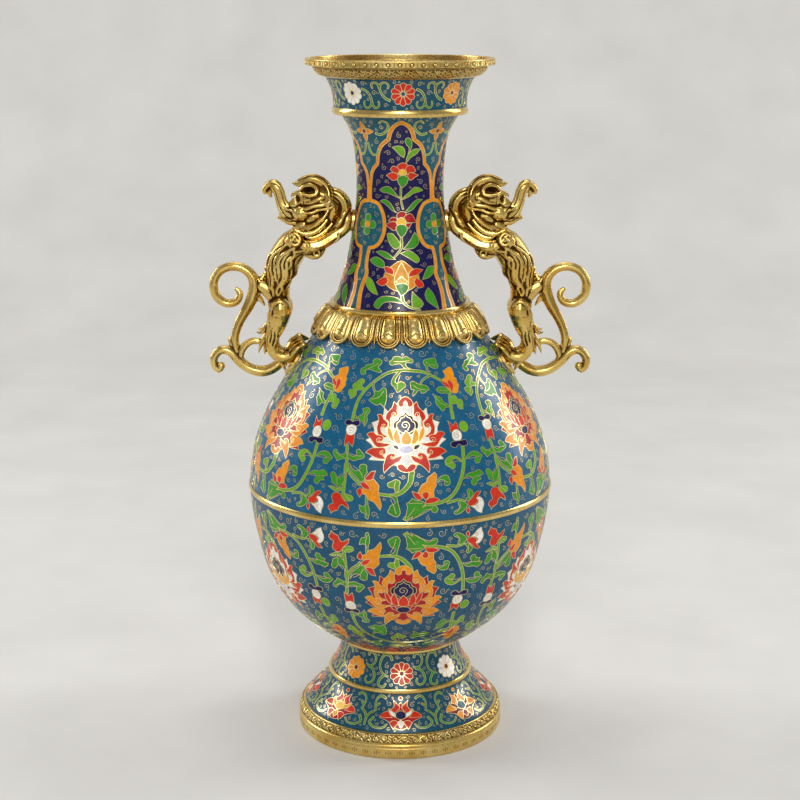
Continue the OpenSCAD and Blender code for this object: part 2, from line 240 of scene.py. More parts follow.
class Face:
    """The outer face of one or more turned CAD skins, measured along its own curve."""

    def __init__(self, nodes, start):
        corners = []
        for node in nodes:
            corners.extend(outer_corners(node))
        corners.sort()
        first, second = corners[0], corners[1]
        slope = (second[1] - first[1]) / (second[0] - first[0])
        if first[0] - start > 0.2:
            corners.insert(0, (start, first[1] + slope * (start - first[0])))
        line = np.array(smooth_line(corners, closed=False, step=1.5))
        steps = np.hypot(*np.diff(line, axis=0).T)
        keep = np.concatenate(([True], steps > 1e-4))
        line = line[keep]
        self.along = lengths_along(line)
        self.height = line[:, 0]
        self.radius = line[:, 1]
        slopes = np.arctan2(-np.diff(line[:, 1]), np.diff(line[:, 0]))
        middles = (self.along[1:] + self.along[:-1]) / 2
        self.lean = np.interp(self.along, middles, slopes)

    def along_at(self, height):
        return float(np.interp(height, self.height, self.along))

    def radius_at(self, along):
        return np.interp(along, self.along, self.radius)

    def place(self, angle, along, lift=0.0):
        """Points in metres at angle and along, lifted off the face along its own normal."""
        angle = np.radians(np.asarray(angle, float))
        along = np.asarray(along, float)
        lean = np.interp(along, self.along, self.lean)
        radius = np.interp(along, self.along, self.radius) + lift * np.cos(lean)
        height = np.interp(along, self.along, self.height) + lift * np.sin(lean)
        return np.stack((radius * np.sin(angle), -radius * np.cos(angle), height), -1) * MM

    def normals(self, points):
        """The face's normals at points in metres that lie on it."""
        along = np.interp(points[:, 2] / MM, self.height, self.along)
        lean = np.interp(along, self.along, self.lean)
        out = unit_rows(points[:, :2])
        return np.stack((out[:, 0] * np.cos(lean), out[:, 1] * np.cos(lean), np.sin(lean)), -1)


# ---- enamel cells and wires ---------------------------------------------------------------------


class Design:
    """One repeat of an enamel design on a face: cells of colour in the order they are laid, and
    loose wires. Everything is kept on a flat plan in millimetres, centred on the repeat's axis."""

    def __init__(self, face, axis, period, low, high, ground):
        self.face = face
        self.axis = axis
        self.period = period
        self.low = low
        self.high = high
        self.ground = ground
        self.scale = math.radians(1) * float(face.radius_at((low + high) / 2))
        self.width = period * self.scale
        self.cells = []
        self.wires = []
        self.bare = []      # colours of large cells that have filler curls too

    def plan(self, points):
        """Plan points from (angle, along) points."""
        return [((angle - self.axis) * self.scale, along) for angle, along in points]

    def local(self, centre, points):
        """Plan points from points in millimetres about a centre given as (angle, along)."""
        degree = math.radians(1) * float(self.face.radius_at(centre[1]))
        return self.plan([(centre[0] + x / degree, centre[1] + y) for x, y in points])

    def cell(self, colour, outline, group=None, smooth=True):
        """A closed cell. Cells of one colour and one group have no wire between them."""
        if smooth:
            outline = smooth_line(outline, closed=True)
        self.cells.append((colour, len(self.cells) if group is None else group, outline))

    def stem(self, colour, points, wide, narrow, group=None):
        """A cell along a line in plan points, which tapers from one width to the other."""
        line = np.array(smooth_line(points, closed=False, step=1.6))
        reach = sides_of(line) * np.linspace(wide, narrow, len(line))[:, None] / 2
        outline = [tuple(point) for point in (*(line + reach), *(line - reach)[::-1])]
        self.cell(colour, outline, group, smooth=False)

    def vein(self, outline):
        """A wire along the middle of a leaf, between the two points farthest apart."""
        points = np.array(outline, float)
        apart = np.hypot(*(points[:, None] - points[None]).transpose(2, 0, 1))
        first, last = np.unravel_index(np.argmax(apart), apart.shape)
        middle = points.mean(axis=0)
        start, end = (tip + (middle - tip) * VEIN_INSET for tip in (points[first], points[last]))
        self.wire([tuple(start), tuple(middle), tuple(end)])

    def wire(self, points):
        self.wires.append(smooth_line(points, closed=False, step=0.8))

    def triangles(self):
        """The repeat cut into triangles, as points, triangles and each one's (cell, shift)."""
        half = self.width / 2
        points, loops, owners = [], [], []
        for order, (colour, group, outline) in enumerate(self.cells):
            area = sum(
                a[0] * b[1] - b[0] * a[1] for a, b in zip(outline, outline[1:] + outline[:1])
            )
            if area < 0:
                outline = outline[::-1]
            for shift in (-1, 0, 1):
                moved = [(x + shift * self.width, y) for x, y in outline]
                if max(x for x, y in moved) < -half or min(x for x, y in moved) > half:
                    continue
                loops.append(list(range(len(points), len(points) + len(moved))))
                owners.append((order, shift))
                points.extend(moved)
        rows = math.ceil((self.high - self.low) / GRID)
        columns = math.ceil(self.width / GRID)
        edges = []

        def border(start, end, pieces):
            first = len(points)
            for i in range(pieces + 1):
                share = i / pieces
                points.append(
                    (start[0] + (end[0] - start[0]) * share, start[1] + (end[1] - start[1]) * share)
                )
            edges.extend((first + i, first + i + 1) for i in range(pieces))

        border((-half, self.low), (half, self.low), columns)
        border((-half, self.high), (half, self.high), columns)
        border((-half, self.low), (-half, self.high), rows)
        border((half, self.low), (half, self.high), rows)
        for row in range(1, rows):
            for column in range(columns):
                x = -half + (column + (0.25 if row % 2 else 0.75)) * self.width / columns
                points.append((x, self.low + row * (self.high - self.low) / rows))
        flat, _, found, _, _, sources = delaunay_2d_cdt(
            [Vector(point) for point in points], edges, loops, 0, 1e-5, True
        )
        flat = np.array(flat)
        kept, tops = [], []
        for triangle, source in zip(found, sources):
            middle = flat[triangle].mean(axis=0)
            if abs(middle[0]) > half or not self.low < middle[1] < self.high:
                continue
            kept.append(triangle)
            tops.append(max((owners[i] for i in source), default=None, key=lambda top: top[0]))
        return flat, kept, tops

    def key(self, top):
        """What makes two cells the same to a wire: colour and group."""
        if top is None:
            return (self.ground, "ground")
        colour, group, _ = self.cells[top[0]]
        return (colour, group, top[1] if isinstance(group, int) else 0)

    def outlines(self, kept, tops):
        """Lines of point numbers along every edge where two different cells meet."""
        sides = {}
        for triangle, top in zip(kept, tops):
            for a, b in zip(triangle, (*triangle[1:], triangle[0])):
                sides.setdefault((min(a, b), max(a, b)), []).append(self.key(top))
        links = {}
        for (a, b), keys in sides.items():
            if len(keys) == 2 and keys[0] != keys[1]:
                links.setdefault(a, []).append(b)
                links.setdefault(b, []).append(a)
        used, lines = set(), []

        def walk(start, following):
            line = [start, following]
            used.add((min(start, following), max(start, following)))
            while len(links[line[-1]]) == 2:
                here = line[-1]
                onward = links[here][0] if links[here][1] == line[-2] else links[here][1]
                edge = (min(here, onward), max(here, onward))
                if edge in used:
                    break
                used.add(edge)
                line.append(onward)
            lines.append(line)

        ends = [point for point in links if len(links[point]) != 2]
        for point in ends + list(links):
            for following in links[point]:
                if (min(point, following), max(point, following)) not in used:
                    walk(point, following)
        return lines


def colour_of(name, shades, repeat):
    """The paint of a cell: a design's own colour names change from one repeat to the next."""
    return ENAMEL[shades[repeat % len(shades)].get(name, name)]


def make_mesh(name, points, faces, smooth=True):
    """An object made from points in metres and faces that number them."""
    mesh = bpy.data.meshes.new(name)
    mesh.from_pydata([tuple(point) for point in points], [], faces)
    mesh.update()
    if smooth:
        mesh.polygons.foreach_set("use_smooth", [True] * len(mesh.polygons))
    piece = bpy.data.objects.new(name, mesh)
    bpy.context.scene.collection.objects.link(piece)
    return piece


def finish_piece(piece, material, nodes=()):
    """Gives a piece its material and its body, and hides the CAD nodes that it stands for."""
    piece.data.materials.append(material)
    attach(piece, "root")
    if nodes:
        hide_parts(*nodes)


def split_at_corners(line, limit=55.0):
    """A line of plan points cut wherever it turns sharply, so that each piece bends gently."""
    pieces, current = [], [line[0]]
    for i in range(1, len(line)):
        current.append(line[i])
        if i + 1 < len(line):
            before = np.subtract(line[i], line[i - 1])
            after = np.subtract(line[i + 1], line[i])
            scale = np.linalg.norm(before) * np.linalg.norm(after)
            if scale > 0 and math.degrees(math.acos(np.clip(before @ after / scale, -1, 1))) > limit:
                pieces.append(current)
                current = [line[i]]
    pieces.append(current)
    return pieces


def even_steps(line, step):
    """The same line with points spaced evenly."""
    line = np.array(line, float)
    lengths = np.hypot(*np.diff(line, axis=0).T)
    line = line[np.concatenate(([True], lengths > 1e-5))]
    if len(line) < 2:
        return None
    along = lengths_along(line)
    if along[-1] < SHORTEST_WIRE:
        return None
    count = max(int(round(along[-1] / step)), 2)
    wanted = np.linspace(0, along[-1], count + 1)
    return np.stack((np.interp(wanted, along, line[:, 0]), np.interp(wanted, along, line[:, 1])), 1)


def tube_faces(first, rings, sides):
    """The faces of a closed tube, whose rings of points are numbered from first on."""
    faces = []
    for i in range(rings - 1):
        for k in range(sides):
            a, b = first + i * sides + k, first + i * sides + (k + 1) % sides
            faces.append((a, b, b + sides, a + sides))
    last = first + (rings - 1) * sides
    faces.append(tuple(range(first + sides - 1, first - 1, -1)))
    faces.append(tuple(range(last, last + sides)))
    return faces


def wire_mesh(name, design, count, lines, width, step):
    """Ribbons of wire along plan lines, repeated round the vase."""
    points, faces = [], []
    top_share = WIRE_TOP / WIRE_WIDTH
    base = 0
    for line in lines:
        for part in split_at_corners(line):
            flat = even_steps(part, step)
            if flat is None:
                continue
            angle = design.axis + flat[:, 0] / design.scale
            middle = design.face.place(angle, flat[:, 1])
            out = design.face.normals(middle)
            side = unit_rows(np.cross(out, unit_rows(np.gradient(middle, axis=0))))
            half = width / 2 * MM
            low = middle - out * WIRE_ROOT * MM
            high = middle + out * WIRE_RISE * MM
            ring = np.stack(
                (
                    low - side * half,
                    high - side * half * top_share,
                    high + side * half * top_share,
                    low + side * half,
                ),
                1,
            )
            points.append(ring.reshape(-1, 3))
            faces += tube_faces(base, len(flat), 4)
            base += len(flat) * 4
    points = np.concatenate(points)
    every_point, every_face = [], []
    for repeat in range(count):
        turn = math.radians(repeat * design.period)
        cosine, sine = math.cos(turn), math.sin(turn)
        turned = points.copy()
        turned[:, 0] = points[:, 0] * cosine - points[:, 1] * sine
        turned[:, 1] = points[:, 0] * sine + points[:, 1] * cosine
        every_point.append(turned)
        offset = repeat * base
        every_face.extend(tuple(index + offset for index in face) for face in faces)
    return make_mesh(name, np.concatenate(every_point), every_face, smooth=False)


def curl_lines(design, flat, kept, tops, lines, seed, sizes):
    """Filler curls on the bare ground, each as large as fits clear of the wires and each other."""
    chance = random.Random(seed)
    face = design.face

    def solid(point, turn=0.0):
        return face.place(design.axis + point[0] / design.scale + turn, point[1]) / MM

    middles = KDTree(len(kept))
    for i, triangle in enumerate(kept):
        middles.insert(solid(flat[triangle].mean(axis=0)), i)
    middles.balance()
    turns = (-design.period, 0.0, design.period)
    obstacles = [solid(point, turn) for turn in turns for line in lines for point in line]
    nearby = KDTree(len(obstacles))
    for i, point in enumerate(obstacles):
        nearby.insert(point, i)
    nearby.balance()
    placed, curls = [], []
    half = design.width / 2
    for size, tries in sizes:
        for _ in range(tries):
            spot = (chance.uniform(-half, half), chance.uniform(design.low + size, design.high - size))
            centre = solid(spot)
            top = tops[middles.find(centre)[1]]
            if top is not None and design.cells[top[0]][0] not in design.bare:
                continue
            if nearby.find(centre)[2] < size + CURL_GAP:
                continue
            if any(math.dist(centre, other) < size + reach + CURL_GAP for other, reach in placed):
                continue
            placed += [(solid(spot, turn), size) for turn in turns]
            degree = math.radians(1) * float(face.radius_at(spot[1]))
            start = chance.uniform(0, 360)
            hand = chance.choice((-1, 1))
            if size < PAIRED_CURL:
                curl = spiral((0, 0), size, 1.35, start, hand)
            else:
                larger = spiral((-0.28 * size, 0), 0.72 * size, 1.4, 0, 1)
                smaller = spiral((0.72 * size, 0), 0.28 * size, 0.8, 180, 1)
                curl = turned_about(larger[::-1] + smaller[1:], (0, 0), start)
                curl = [(x * hand, y) for x, y in curl]
            curls.append([(spot[0] + x / degree * design.scale, spot[1] + y) for x, y in curl])
    return curls


def close_skin(work, face, depth, levels):
    """Gives an open enamel face a back, depth behind it, and edges that join the two."""
    rim = [edge for edge in work.edges if edge.is_boundary]
    middle = (min(v.co.z for v in work.verts) + max(v.co.z for v in work.verts)) / 2
    lower = [edge for edge in rim if edge.verts[0].co.z < middle]
    upper = [edge for edge in rim if edge.verts[0].co.z >= middle]

    def moved_ring(edges, along):
        made = bmesh.ops.extrude_edge_only(work, edges=edges)["geom"]
        corners = [item for item in made if isinstance(item, bmesh.types.BMVert)]
        for corner in corners:
            angle = math.degrees(math.atan2(corner.co.x, -corner.co.y))
            corner.co = Vector(face.place(angle, along, -depth))
        return [item for item in made if isinstance(item, bmesh.types.BMEdge) and item.is_boundary]

    low = face.along_at(min(v.co.z for v in work.verts) / MM)
    high = face.along_at(max(v.co.z for v in work.verts) / MM)
    upper_back = moved_ring(upper, high)
    ring = moved_ring(lower, low)
    for level in range(1, levels):
        ring = moved_ring(ring, low + (high - low) * level / levels)
    bmesh.ops.bridge_loops(work, edges=ring + upper_back)


def enamel_skin(name, design, count, shades, nodes, curls, levels=10):
    """The enamel of one zone with its wires, as three pieces: enamel, wires and filler curls."""
    flat, kept, tops = design.triangles()
    number = {}
    for triangle in kept:
        for index in triangle:
            number.setdefault(int(index), len(number))
    used = np.array(list(number))
    angle = design.axis + flat[used, 0] / design.scale
    along = flat[used, 1]
    work = bmesh.new()
    paint = work.loops.layers.float_color.new("cell")
    for repeat in range(count):
        corners = design.face.place(angle + repeat * design.period, along)
        made = [work.verts.new(corner) for corner in corners]
        for triangle, top in zip(kept, tops):
            name_here = design.ground if top is None else design.cells[top[0]][0]
            shift = 0 if top is None else top[1]
            colour = colour_of(name_here, shades, repeat + shift)
            face = work.faces.new([made[number[int(index)]] for index in triangle])
            for loop in face.loops:
                loop[paint] = colour
    bmesh.ops.remove_doubles(work, verts=work.verts, dist=2e-6)
    work.verts.ensure_lookup_table()
    outer = len(work.verts)
    close_skin(work, design.face, SKIN_DEPTH, levels)
    bmesh.ops.recalc_face_normals(work, faces=work.faces)
    mesh = bpy.data.meshes.new(name)
    work.to_mesh(mesh)
    work.free()
    mesh.polygons.foreach_set("use_smooth", [True] * len(mesh.polygons))
    own = np.array([corner.normal for corner in mesh.vertices])
    points = np.array([corner.co for corner in mesh.vertices])
    own[:outer] = design.face.normals(points[:outer])
    mesh.normals_split_custom_set_from_vertices(own)
    piece = bpy.data.objects.new(name, mesh)
    bpy.context.scene.collection.objects.link(piece)
    finish_piece(piece, enamel_material, nodes)
    lines = [[tuple(flat[index]) for index in line] for line in design.outlines(kept, tops)]
    lines += design.wires
    wires = wire_mesh(name + "_wires", design, count, lines, WIRE_WIDTH, WIRE_STEP)
    finish_piece(wires, wire_material)
    if curls:
        seed = len(name)
        fillers = curl_lines(design, flat, kept, tops, lines, seed, curls)
        if fillers:
            extra = wire_mesh(name + "_curls", design, count, fillers, CURL_WIDTH, CURL_STEP)
            finish_piece(extra, wire_material)


# ---- materials ----------------------------------------------------------------------------------


def feed(socket, value):
    """Links another node's output to a socket, or sets the socket to a plain value."""
    if hasattr(value, "is_linked"):
        socket.id_data.links.new(value, socket)
    else:
        socket.default_value = value


class Paint:
    """A procedural material: a Principled shader and the nodes that feed it."""

    def __init__(self, name):
        self.material = bpy.data.materials.new(name)
        self.material.use_nodes = True
        self.nodes = self.material.node_tree.nodes
        self.inputs = self.nodes["Principled BSDF"].inputs
        self.coordinates = self.add("ShaderNodeTexCoord").outputs["Object"]

    def add(self, kind, settings=None, **inputs):
        node = self.nodes.new(kind)
        for key, value in (settings or {}).items():
            setattr(node, key, value)
        for key, value in inputs.items():
            feed(node.inputs[key.replace("_", " ")], value)
        return node

    def attribute(self, name, output):
        return self.add("ShaderNodeAttribute", {"attribute_name": name}).outputs[output]

    def noise(self, scale, detail, roughness):
        return self.add("ShaderNodeTexNoise", Vector=self.coordinates, Scale=scale, Detail=detail,
                        Roughness=roughness).outputs["Fac"]

    def spread(self, value, low, high, to_low, to_high):
        """The value, with its range from low to high spread from to_low to to_high."""
        return self.add("ShaderNodeMapRange", Value=value, From_Min=low, From_Max=high,
                        To_Min=to_low, To_Max=to_high).outputs["Result"]

    def scaled(self, value, factor, more=0.0):
        """value * factor + more"""
        node = self.add("ShaderNodeMath", {"operation": "MULTIPLY_ADD"})
        for socket, item in zip(node.inputs, (value, factor, more)):
            feed(socket, item)
        return node.outputs[0]

    def mixed(self, share, first, second, mode="MIX"):
        """Two colours mixed by share. Each may be a colour or another node's output."""
        node = self.add("ShaderNodeMix", {"data_type": "RGBA", "blend_type": mode})
        for place, item in ((0, share), (6, first), (7, second)):
            feed(node.inputs[place], item)
        return node.outputs[2]

    def finish(self, colour, roughness, height, strength, depth, metallic=0.0):
        """Gives the shader its colour, its roughness and bumps of a depth in metres."""
        bump = self.add("ShaderNodeBump", Height=height, Strength=strength, Distance=depth)
        feed(self.inputs["Base Color"], colour)
        feed(self.inputs["Roughness"], roughness)
        feed(self.inputs["Normal"], bump.outputs["Normal"])
        self.inputs["Metallic"].default_value = metallic
        return self.material


def enamel_paint():
    """Polished enamel: the cell's own colour, mottled, with fine pits and a soft glassy surface."""
    paint = Paint("enamel")
    cloud = paint.noise(90, 5, 0.6)
    grain = paint.noise(620, 3, 0.6)
    shade = paint.scaled(paint.spread(cloud, 0.3, 0.7, 0.86, 1.14),
                         paint.spread(grain, 0.3, 0.7, 0.84, 1.16))
    tint = paint.add("ShaderNodeCombineColor", Red=shade, Green=shade, Blue=shade).outputs[0]
    colour = paint.mixed(1.0, paint.attribute("cell", "Color"), tint, "MULTIPLY")
    pits = paint.add("ShaderNodeTexVoronoi", Vector=paint.coordinates, Scale=850.0)
    dark = paint.spread(pits.outputs["Distance"], 0.05, 0.16, 0.45, 0.0)
    waves = paint.noise(160, 2, 0.5)
    paint.inputs["IOR"].default_value = 1.52
    paint.inputs["Specular IOR Level"].default_value = 0.36
    return paint.finish(paint.mixed(dark, colour, srgb(22, 24, 28)),
                        paint.spread(cloud, 0.3, 0.7, 0.20, 0.34),
                        paint.scaled(grain, 0.25, waves), 0.16, 0.0004)


def gilding(name, bright, deep, roughness, grain_scale, bump_strength, recess=True):
    """Gilt bronze: two tones of gold and fine chasing marks, with brown grime. With recess, the mesh's
    recess values paint that brown as grime and painted shade in the recesses; without it, the brown lies in
    random patches.
    """
    paint = Paint(name)
    tone = paint.noise(42, 4, 0.6)
    grain = paint.noise(grain_scale, 4, 0.65)
    metal = paint.mixed(paint.spread(tone, 0.32, 0.68, 0.0, 1.0), bright, deep)
    if recess:
        # Painted shade and grime: the recess values, broken up by the grain, darken the gold to brown in the
        # hollows.
        uneven = paint.scaled(grain, 0.5, paint.attribute("recess", "Fac"))
        share = paint.spread(uneven, 0.36, 0.9, 0.0, 0.96)
    else:
        share = paint.spread(grain, 0.56, 0.8, 0.0, 0.7)
    polish = paint.spread(grain, 0.3, 0.7, roughness - 0.05, roughness + 0.08)
    return paint.finish(paint.mixed(share, metal, GRIME_AND_SHADE_BROWN), paint.scaled(share, 0.3, polish),
                        grain, bump_strength, 0.0003, 1.0)


def old_copper():
    """The vase's bare inside: dark oxidised copper with rubbed, redder patches."""
    paint = Paint("old_copper")
    patches = paint.noise(24, 6, 0.62)
    grain = paint.noise(300, 4, 0.6)
    rubbed = paint.spread(patches, 0.4, 0.62, 0.0, 1.0)
    colour = paint.mixed(rubbed, srgb(64, 34, 24), srgb(122, 66, 42))
    tarnish = paint.spread(grain, 0.5, 0.75, 0.0, 0.6)
    return paint.finish(paint.mixed(tarnish, colour, srgb(38, 30, 26)),
                        paint.spread(patches, 0.3, 0.7, 0.42, 0.62), grain, 0.35, 0.0004, 0.85)


def plain_steel():
    """Turned steel of the nuts and washers."""
    paint = Paint("steel")
    grain = paint.noise(500, 4, 0.6)
    share = paint.spread(grain, 0.35, 0.7, 0.0, 1.0)
    return paint.finish(paint.mixed(share, srgb(168, 168, 170), srgb(120, 118, 116)),
                        paint.spread(grain, 0.3, 0.7, 0.3, 0.5), grain, 0.2, 0.0002, 1.0)


GOLD = srgb(240, 214, 140)
DEEP_GOLD = srgb(214, 176, 92)
# Brown of the grime, and of the painted shade in the gilding's recesses.
GRIME_AND_SHADE_BROWN = srgb(70, 38, 12)

enamel_material = enamel_paint()
wire_material = gilding("wire_gold", srgb(244, 228, 176), srgb(222, 196, 132), 0.3, 700, 0.05, False)
ring_material = gilding("ring_gold", GOLD, DEEP_GOLD, 0.22, 420, 0.10, False)
chased_material = gilding("chased_gold", GOLD, DEEP_GOLD, 0.27, 520, 0.22)
cast_material = gilding("cast_gold", srgb(236, 208, 128), srgb(208, 168, 80), 0.25, 380, 0.25)
copper_material = old_copper()
steel_material = plain_steel()

# ---- enamel designs -----------------------------------------------------------------------------

SKIN_DEPTH = 1.2        # thickness of the enamel, as in the CAD


def node_heights(node):
    """Lowest and highest z of a CAD node, in millimetres."""
    low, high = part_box(node)
    return low[2] / MM, high[2] / MM


belt_height = sum(node_heights("belt_ring")) / 2
foot_joint_height = sum(node_heights("foot_joint_ring")) / 2
neck_foot_height = sum(node_heights("neck_base_ring")) / 2
foot_band_top = node_heights("foot_band")[1]

collar_face = Face(["collar_enamel"], node_heights("collar_core")[0])
neck_face = Face(["neck_enamel"], neck_foot_height)
upper_face = Face(["upper_body_enamel"], belt_height)
lower_face = Face(["lower_body_enamel"], foot_joint_height)
foot_face = Face(["foot_flare_enamel", "foot_stem_enamel"], foot_band_top - 3)


def zone_limits(face, node):
    """How far up the face a CAD skin starts and ends."""
    low, high = node_heights(node)
    return face.along_at(low), face.along_at(high)


# The big lotus, in millimetres about its centre. Each is the right half or a right-hand petal.
LOTUS_CROWN = [(0, 30.2), (4.5, 28), (6.6, 25), (5.5, 22.4), (3.2, 21.6), (1.6, 23), (1.8, 25),
               (0, 26.8)]
LOTUS_ROOT = [(0, -26.5), (3.5, -23), (6.5, -24), (6.3, -26.5), (4.1, -28.5), (0, -29.6)]
LOTUS_PETALS = [
    [(10, 26.2), (11.4, 21.5), (14.9, 17.5), (16.3, 14.5), (16.2, 12), (13.9, 10), (13.5, 5.5), (13, 4),
     (12.1, 6.5), (12.5, 12), (11.4, 14.5), (9, 13.5), (6.5, 16), (7, 18.5), (7.2, 23.5)],
    [(23.7, 15.1), (22.6, 13.5), (21.9, 10), (22.9, 5.5), (22.6, 2.5), (21.6, -0.5), (16.3, -3), (13.7, -2),
     (17.7, 0), (19.8, 3.5), (19.7, 5.5), (17.3, 4.5), (14.8, 6), (14.3, 8.5), (15.9, 10.5), (18.1, 12),
     (19.4, 14.5), (21.2, 15.7)],
    [(30.4, -0.7), (29.8, -1.5), (27.6, -3.5), (25.3, -6.5), (23.6, -9), (21.1, -10.5), (15.4, -10),
     (10, -7.3), (15.3, -7.3), (22.2, -6.2), (18.6, -6), (17.4, -4), (17.6, -2), (19.7, -1), (22.7, -1),
     (25.1, 1), (28.6, 0.8)],
    [(30, -15), (26.3, -16.5), (22.7, -18.5), (18.5, -19.5), (14.8, -19.5), (17.2, -16.5), (15.1, -15),
     (15, -12.5), (16.9, -10.5), (20.7, -10.8), (24.4, -11), (27, -12)],
    [(15.6, -30.3), (16.2, -28), (16.3, -24), (15.4, -20.5), (14.1, -16.5), (11.9, -15), (8.7, -15),
     (7.9, -17), (9.4, -19), (2.4, -15.8), (5, -21), (8.4, -23), (11.7, -25.5), (14, -28)],
]
LOTUS_BACK = [(0, 26), (7, 23), (13, 17), (18, 20.6), (18.6, 15), (22, 11), (27.4, 8.6), (25, 4), (25, -1),
              (30.6, -5.4), (25.6, -9), (23, -14), (27, -20.4), (19, -20.5), (12, -21), (8, -24), (0, -25)]
LOTUS_CURLS = [((10.2, 15.5), 2.2, 200), ((17.9, 6.2), 1.9, 160), ((20.7, -5.3), 2.4, 140),
               ((17.9, -14.8), 1.9, 120), ((9.8, -18.2), 1.7, 60)]
LOTUS_JEWEL = [(0, 18), (2, 15.4), (5.4, 14.2), (6.4, 11.4), (9.2, 9.8), (9.8, 5.6), (7.4, 2),
               (3.8, -0.5), (0, -2)]
LOTUS_CUP_MIDDLE = [(0, 2.8), (2.6, -0.4), (4, -4.4), (3.2, -7.6), (0, -8.4)]
LOTUS_CUP_INNER = [(7.8, 4.6), (9.6, 0), (9, -5), (6, -7.8), (3.6, -7.8), (4.6, -3.4), (5.8, 1.5)]
LOTUS_CUP_SIDE = [(14.4, 6.2), (14.4, 1.5), (12.4, -3.5), (9.2, -6.8), (10, -1), (11.8, 3.4)]
LOTUS_BASE_WING = [(5.2, -12.6), (8.4, -11.4), (10.6, -8.2), (6.2, -9)]


def add_lotus(design, centre):
    """The big lotus, about a centre given as (angle, along)."""

    def put(colour, outline):
        design.cell(colour, design.local(centre, smooth_line(outline, True)), smooth=False)

    put("back", both_sides(LOTUS_BACK))
    put("crown", both_sides(LOTUS_CROWN))
    put("crown", both_sides(LOTUS_ROOT))
    for petal in LOTUS_PETALS:
        put("petal", petal)
        put("petal", mirrored(petal))
    put("black", both_sides(LOTUS_JEWEL))
    inner = [(x * 0.74, 6.4 + (y - 6.4) * 0.78) for x, y in LOTUS_JEWEL]
    put("navy", both_sides(inner))
    for side in (LOTUS_CUP_SIDE, LOTUS_CUP_INNER, LOTUS_BASE_WING):
        colour = "wing" if side is LOTUS_BASE_WING else "cup"
        put(colour, side)
        put(colour, mirrored(side))
    put("cup", both_sides(LOTUS_CUP_MIDDLE))
    put("heart", ellipse((0, -12), 5.5, 3.3))
    for place, radius, start in LOTUS_CURLS:
        design.wire(design.local(centre, spiral(place, radius, 1.3, start, -1)))
        opposite = (-place[0], place[1])
        design.wire(design.local(centre, spiral(opposite, radius, 1.3, 180 - start, 1)))
    design.wire(design.local(centre, [(1.8, 3), *spiral((-0.6, 7), 3.8, 1.5, -60, 1)]))


# Scroll round the body, as (degrees, millimetres up the upper body). A stem has its width at its
# start and at its end.
BODY_STEMS = [
    ("lime", 2.3, 2.1, [(-21, 78), (-20.7, 89), (-20, 97), (-17.4, 105.5), (-13, 113.2), (-7.2, 119.8),
     (0, 122.4), (7.6, 122), (14, 120), (17.2, 117.3), (22, 112.7)]),
    ("lime", 2.6, 1.8, [(23.5, 80.4), (23.9, 91.5), (24.8, 100.4), (26.2, 103.3)]),
    ("green", 1.8, 1.3, [(-20.3, 84), (-19.4, 82.2), (-18, 82)]),
    ("green", 1.9, 1.2, [(16.8, 118), (13.4, 115.5), (11.4, 113.2), (10.4, 110)]),
    ("green", 1.9, 1.2, [(-14, 112.6), (-13.6, 108.2), (-12, 103)]),
    ("lime", 2.3, 2.2, [(25.4, 59), (25.1, 52), (24.7, 45.5), (23.7, 38), (22.5, 32), (20.9, 26),
     (18.8, 21), (14, 16.5), (9.1, 16)]),
    ("lime", 2.2, 1.6, [(-21.3, 60.5), (-20.9, 54), (-20.6, 48.5), (-19.4, 40.5), (-17.7, 36),
     (-15.6, 32.5), (-14.7, 30)]),
    ("lime", 2.0, 2.2, [(-20.8, 46), (-20.6, 38.5), (-20.6, 32), (-20.8, 22.5)]),
    ("lime", 3.6, 1.9, [(4.4, 42), (4.1, 38), (3.7, 33.5), (2.2, 29), (0.4, 25.5), (-2, 23.5), (-7.6, 24)]),
    ("lime", 2.6, 3.6, [(8.6, 16.5), (4.6, 11), (1.8, 3.8)]),
    ("lime", 2.0, 1.6, [(16.9, 16), (19.2, 17), (21.6, 17.5), (24, 15.5)]),
]
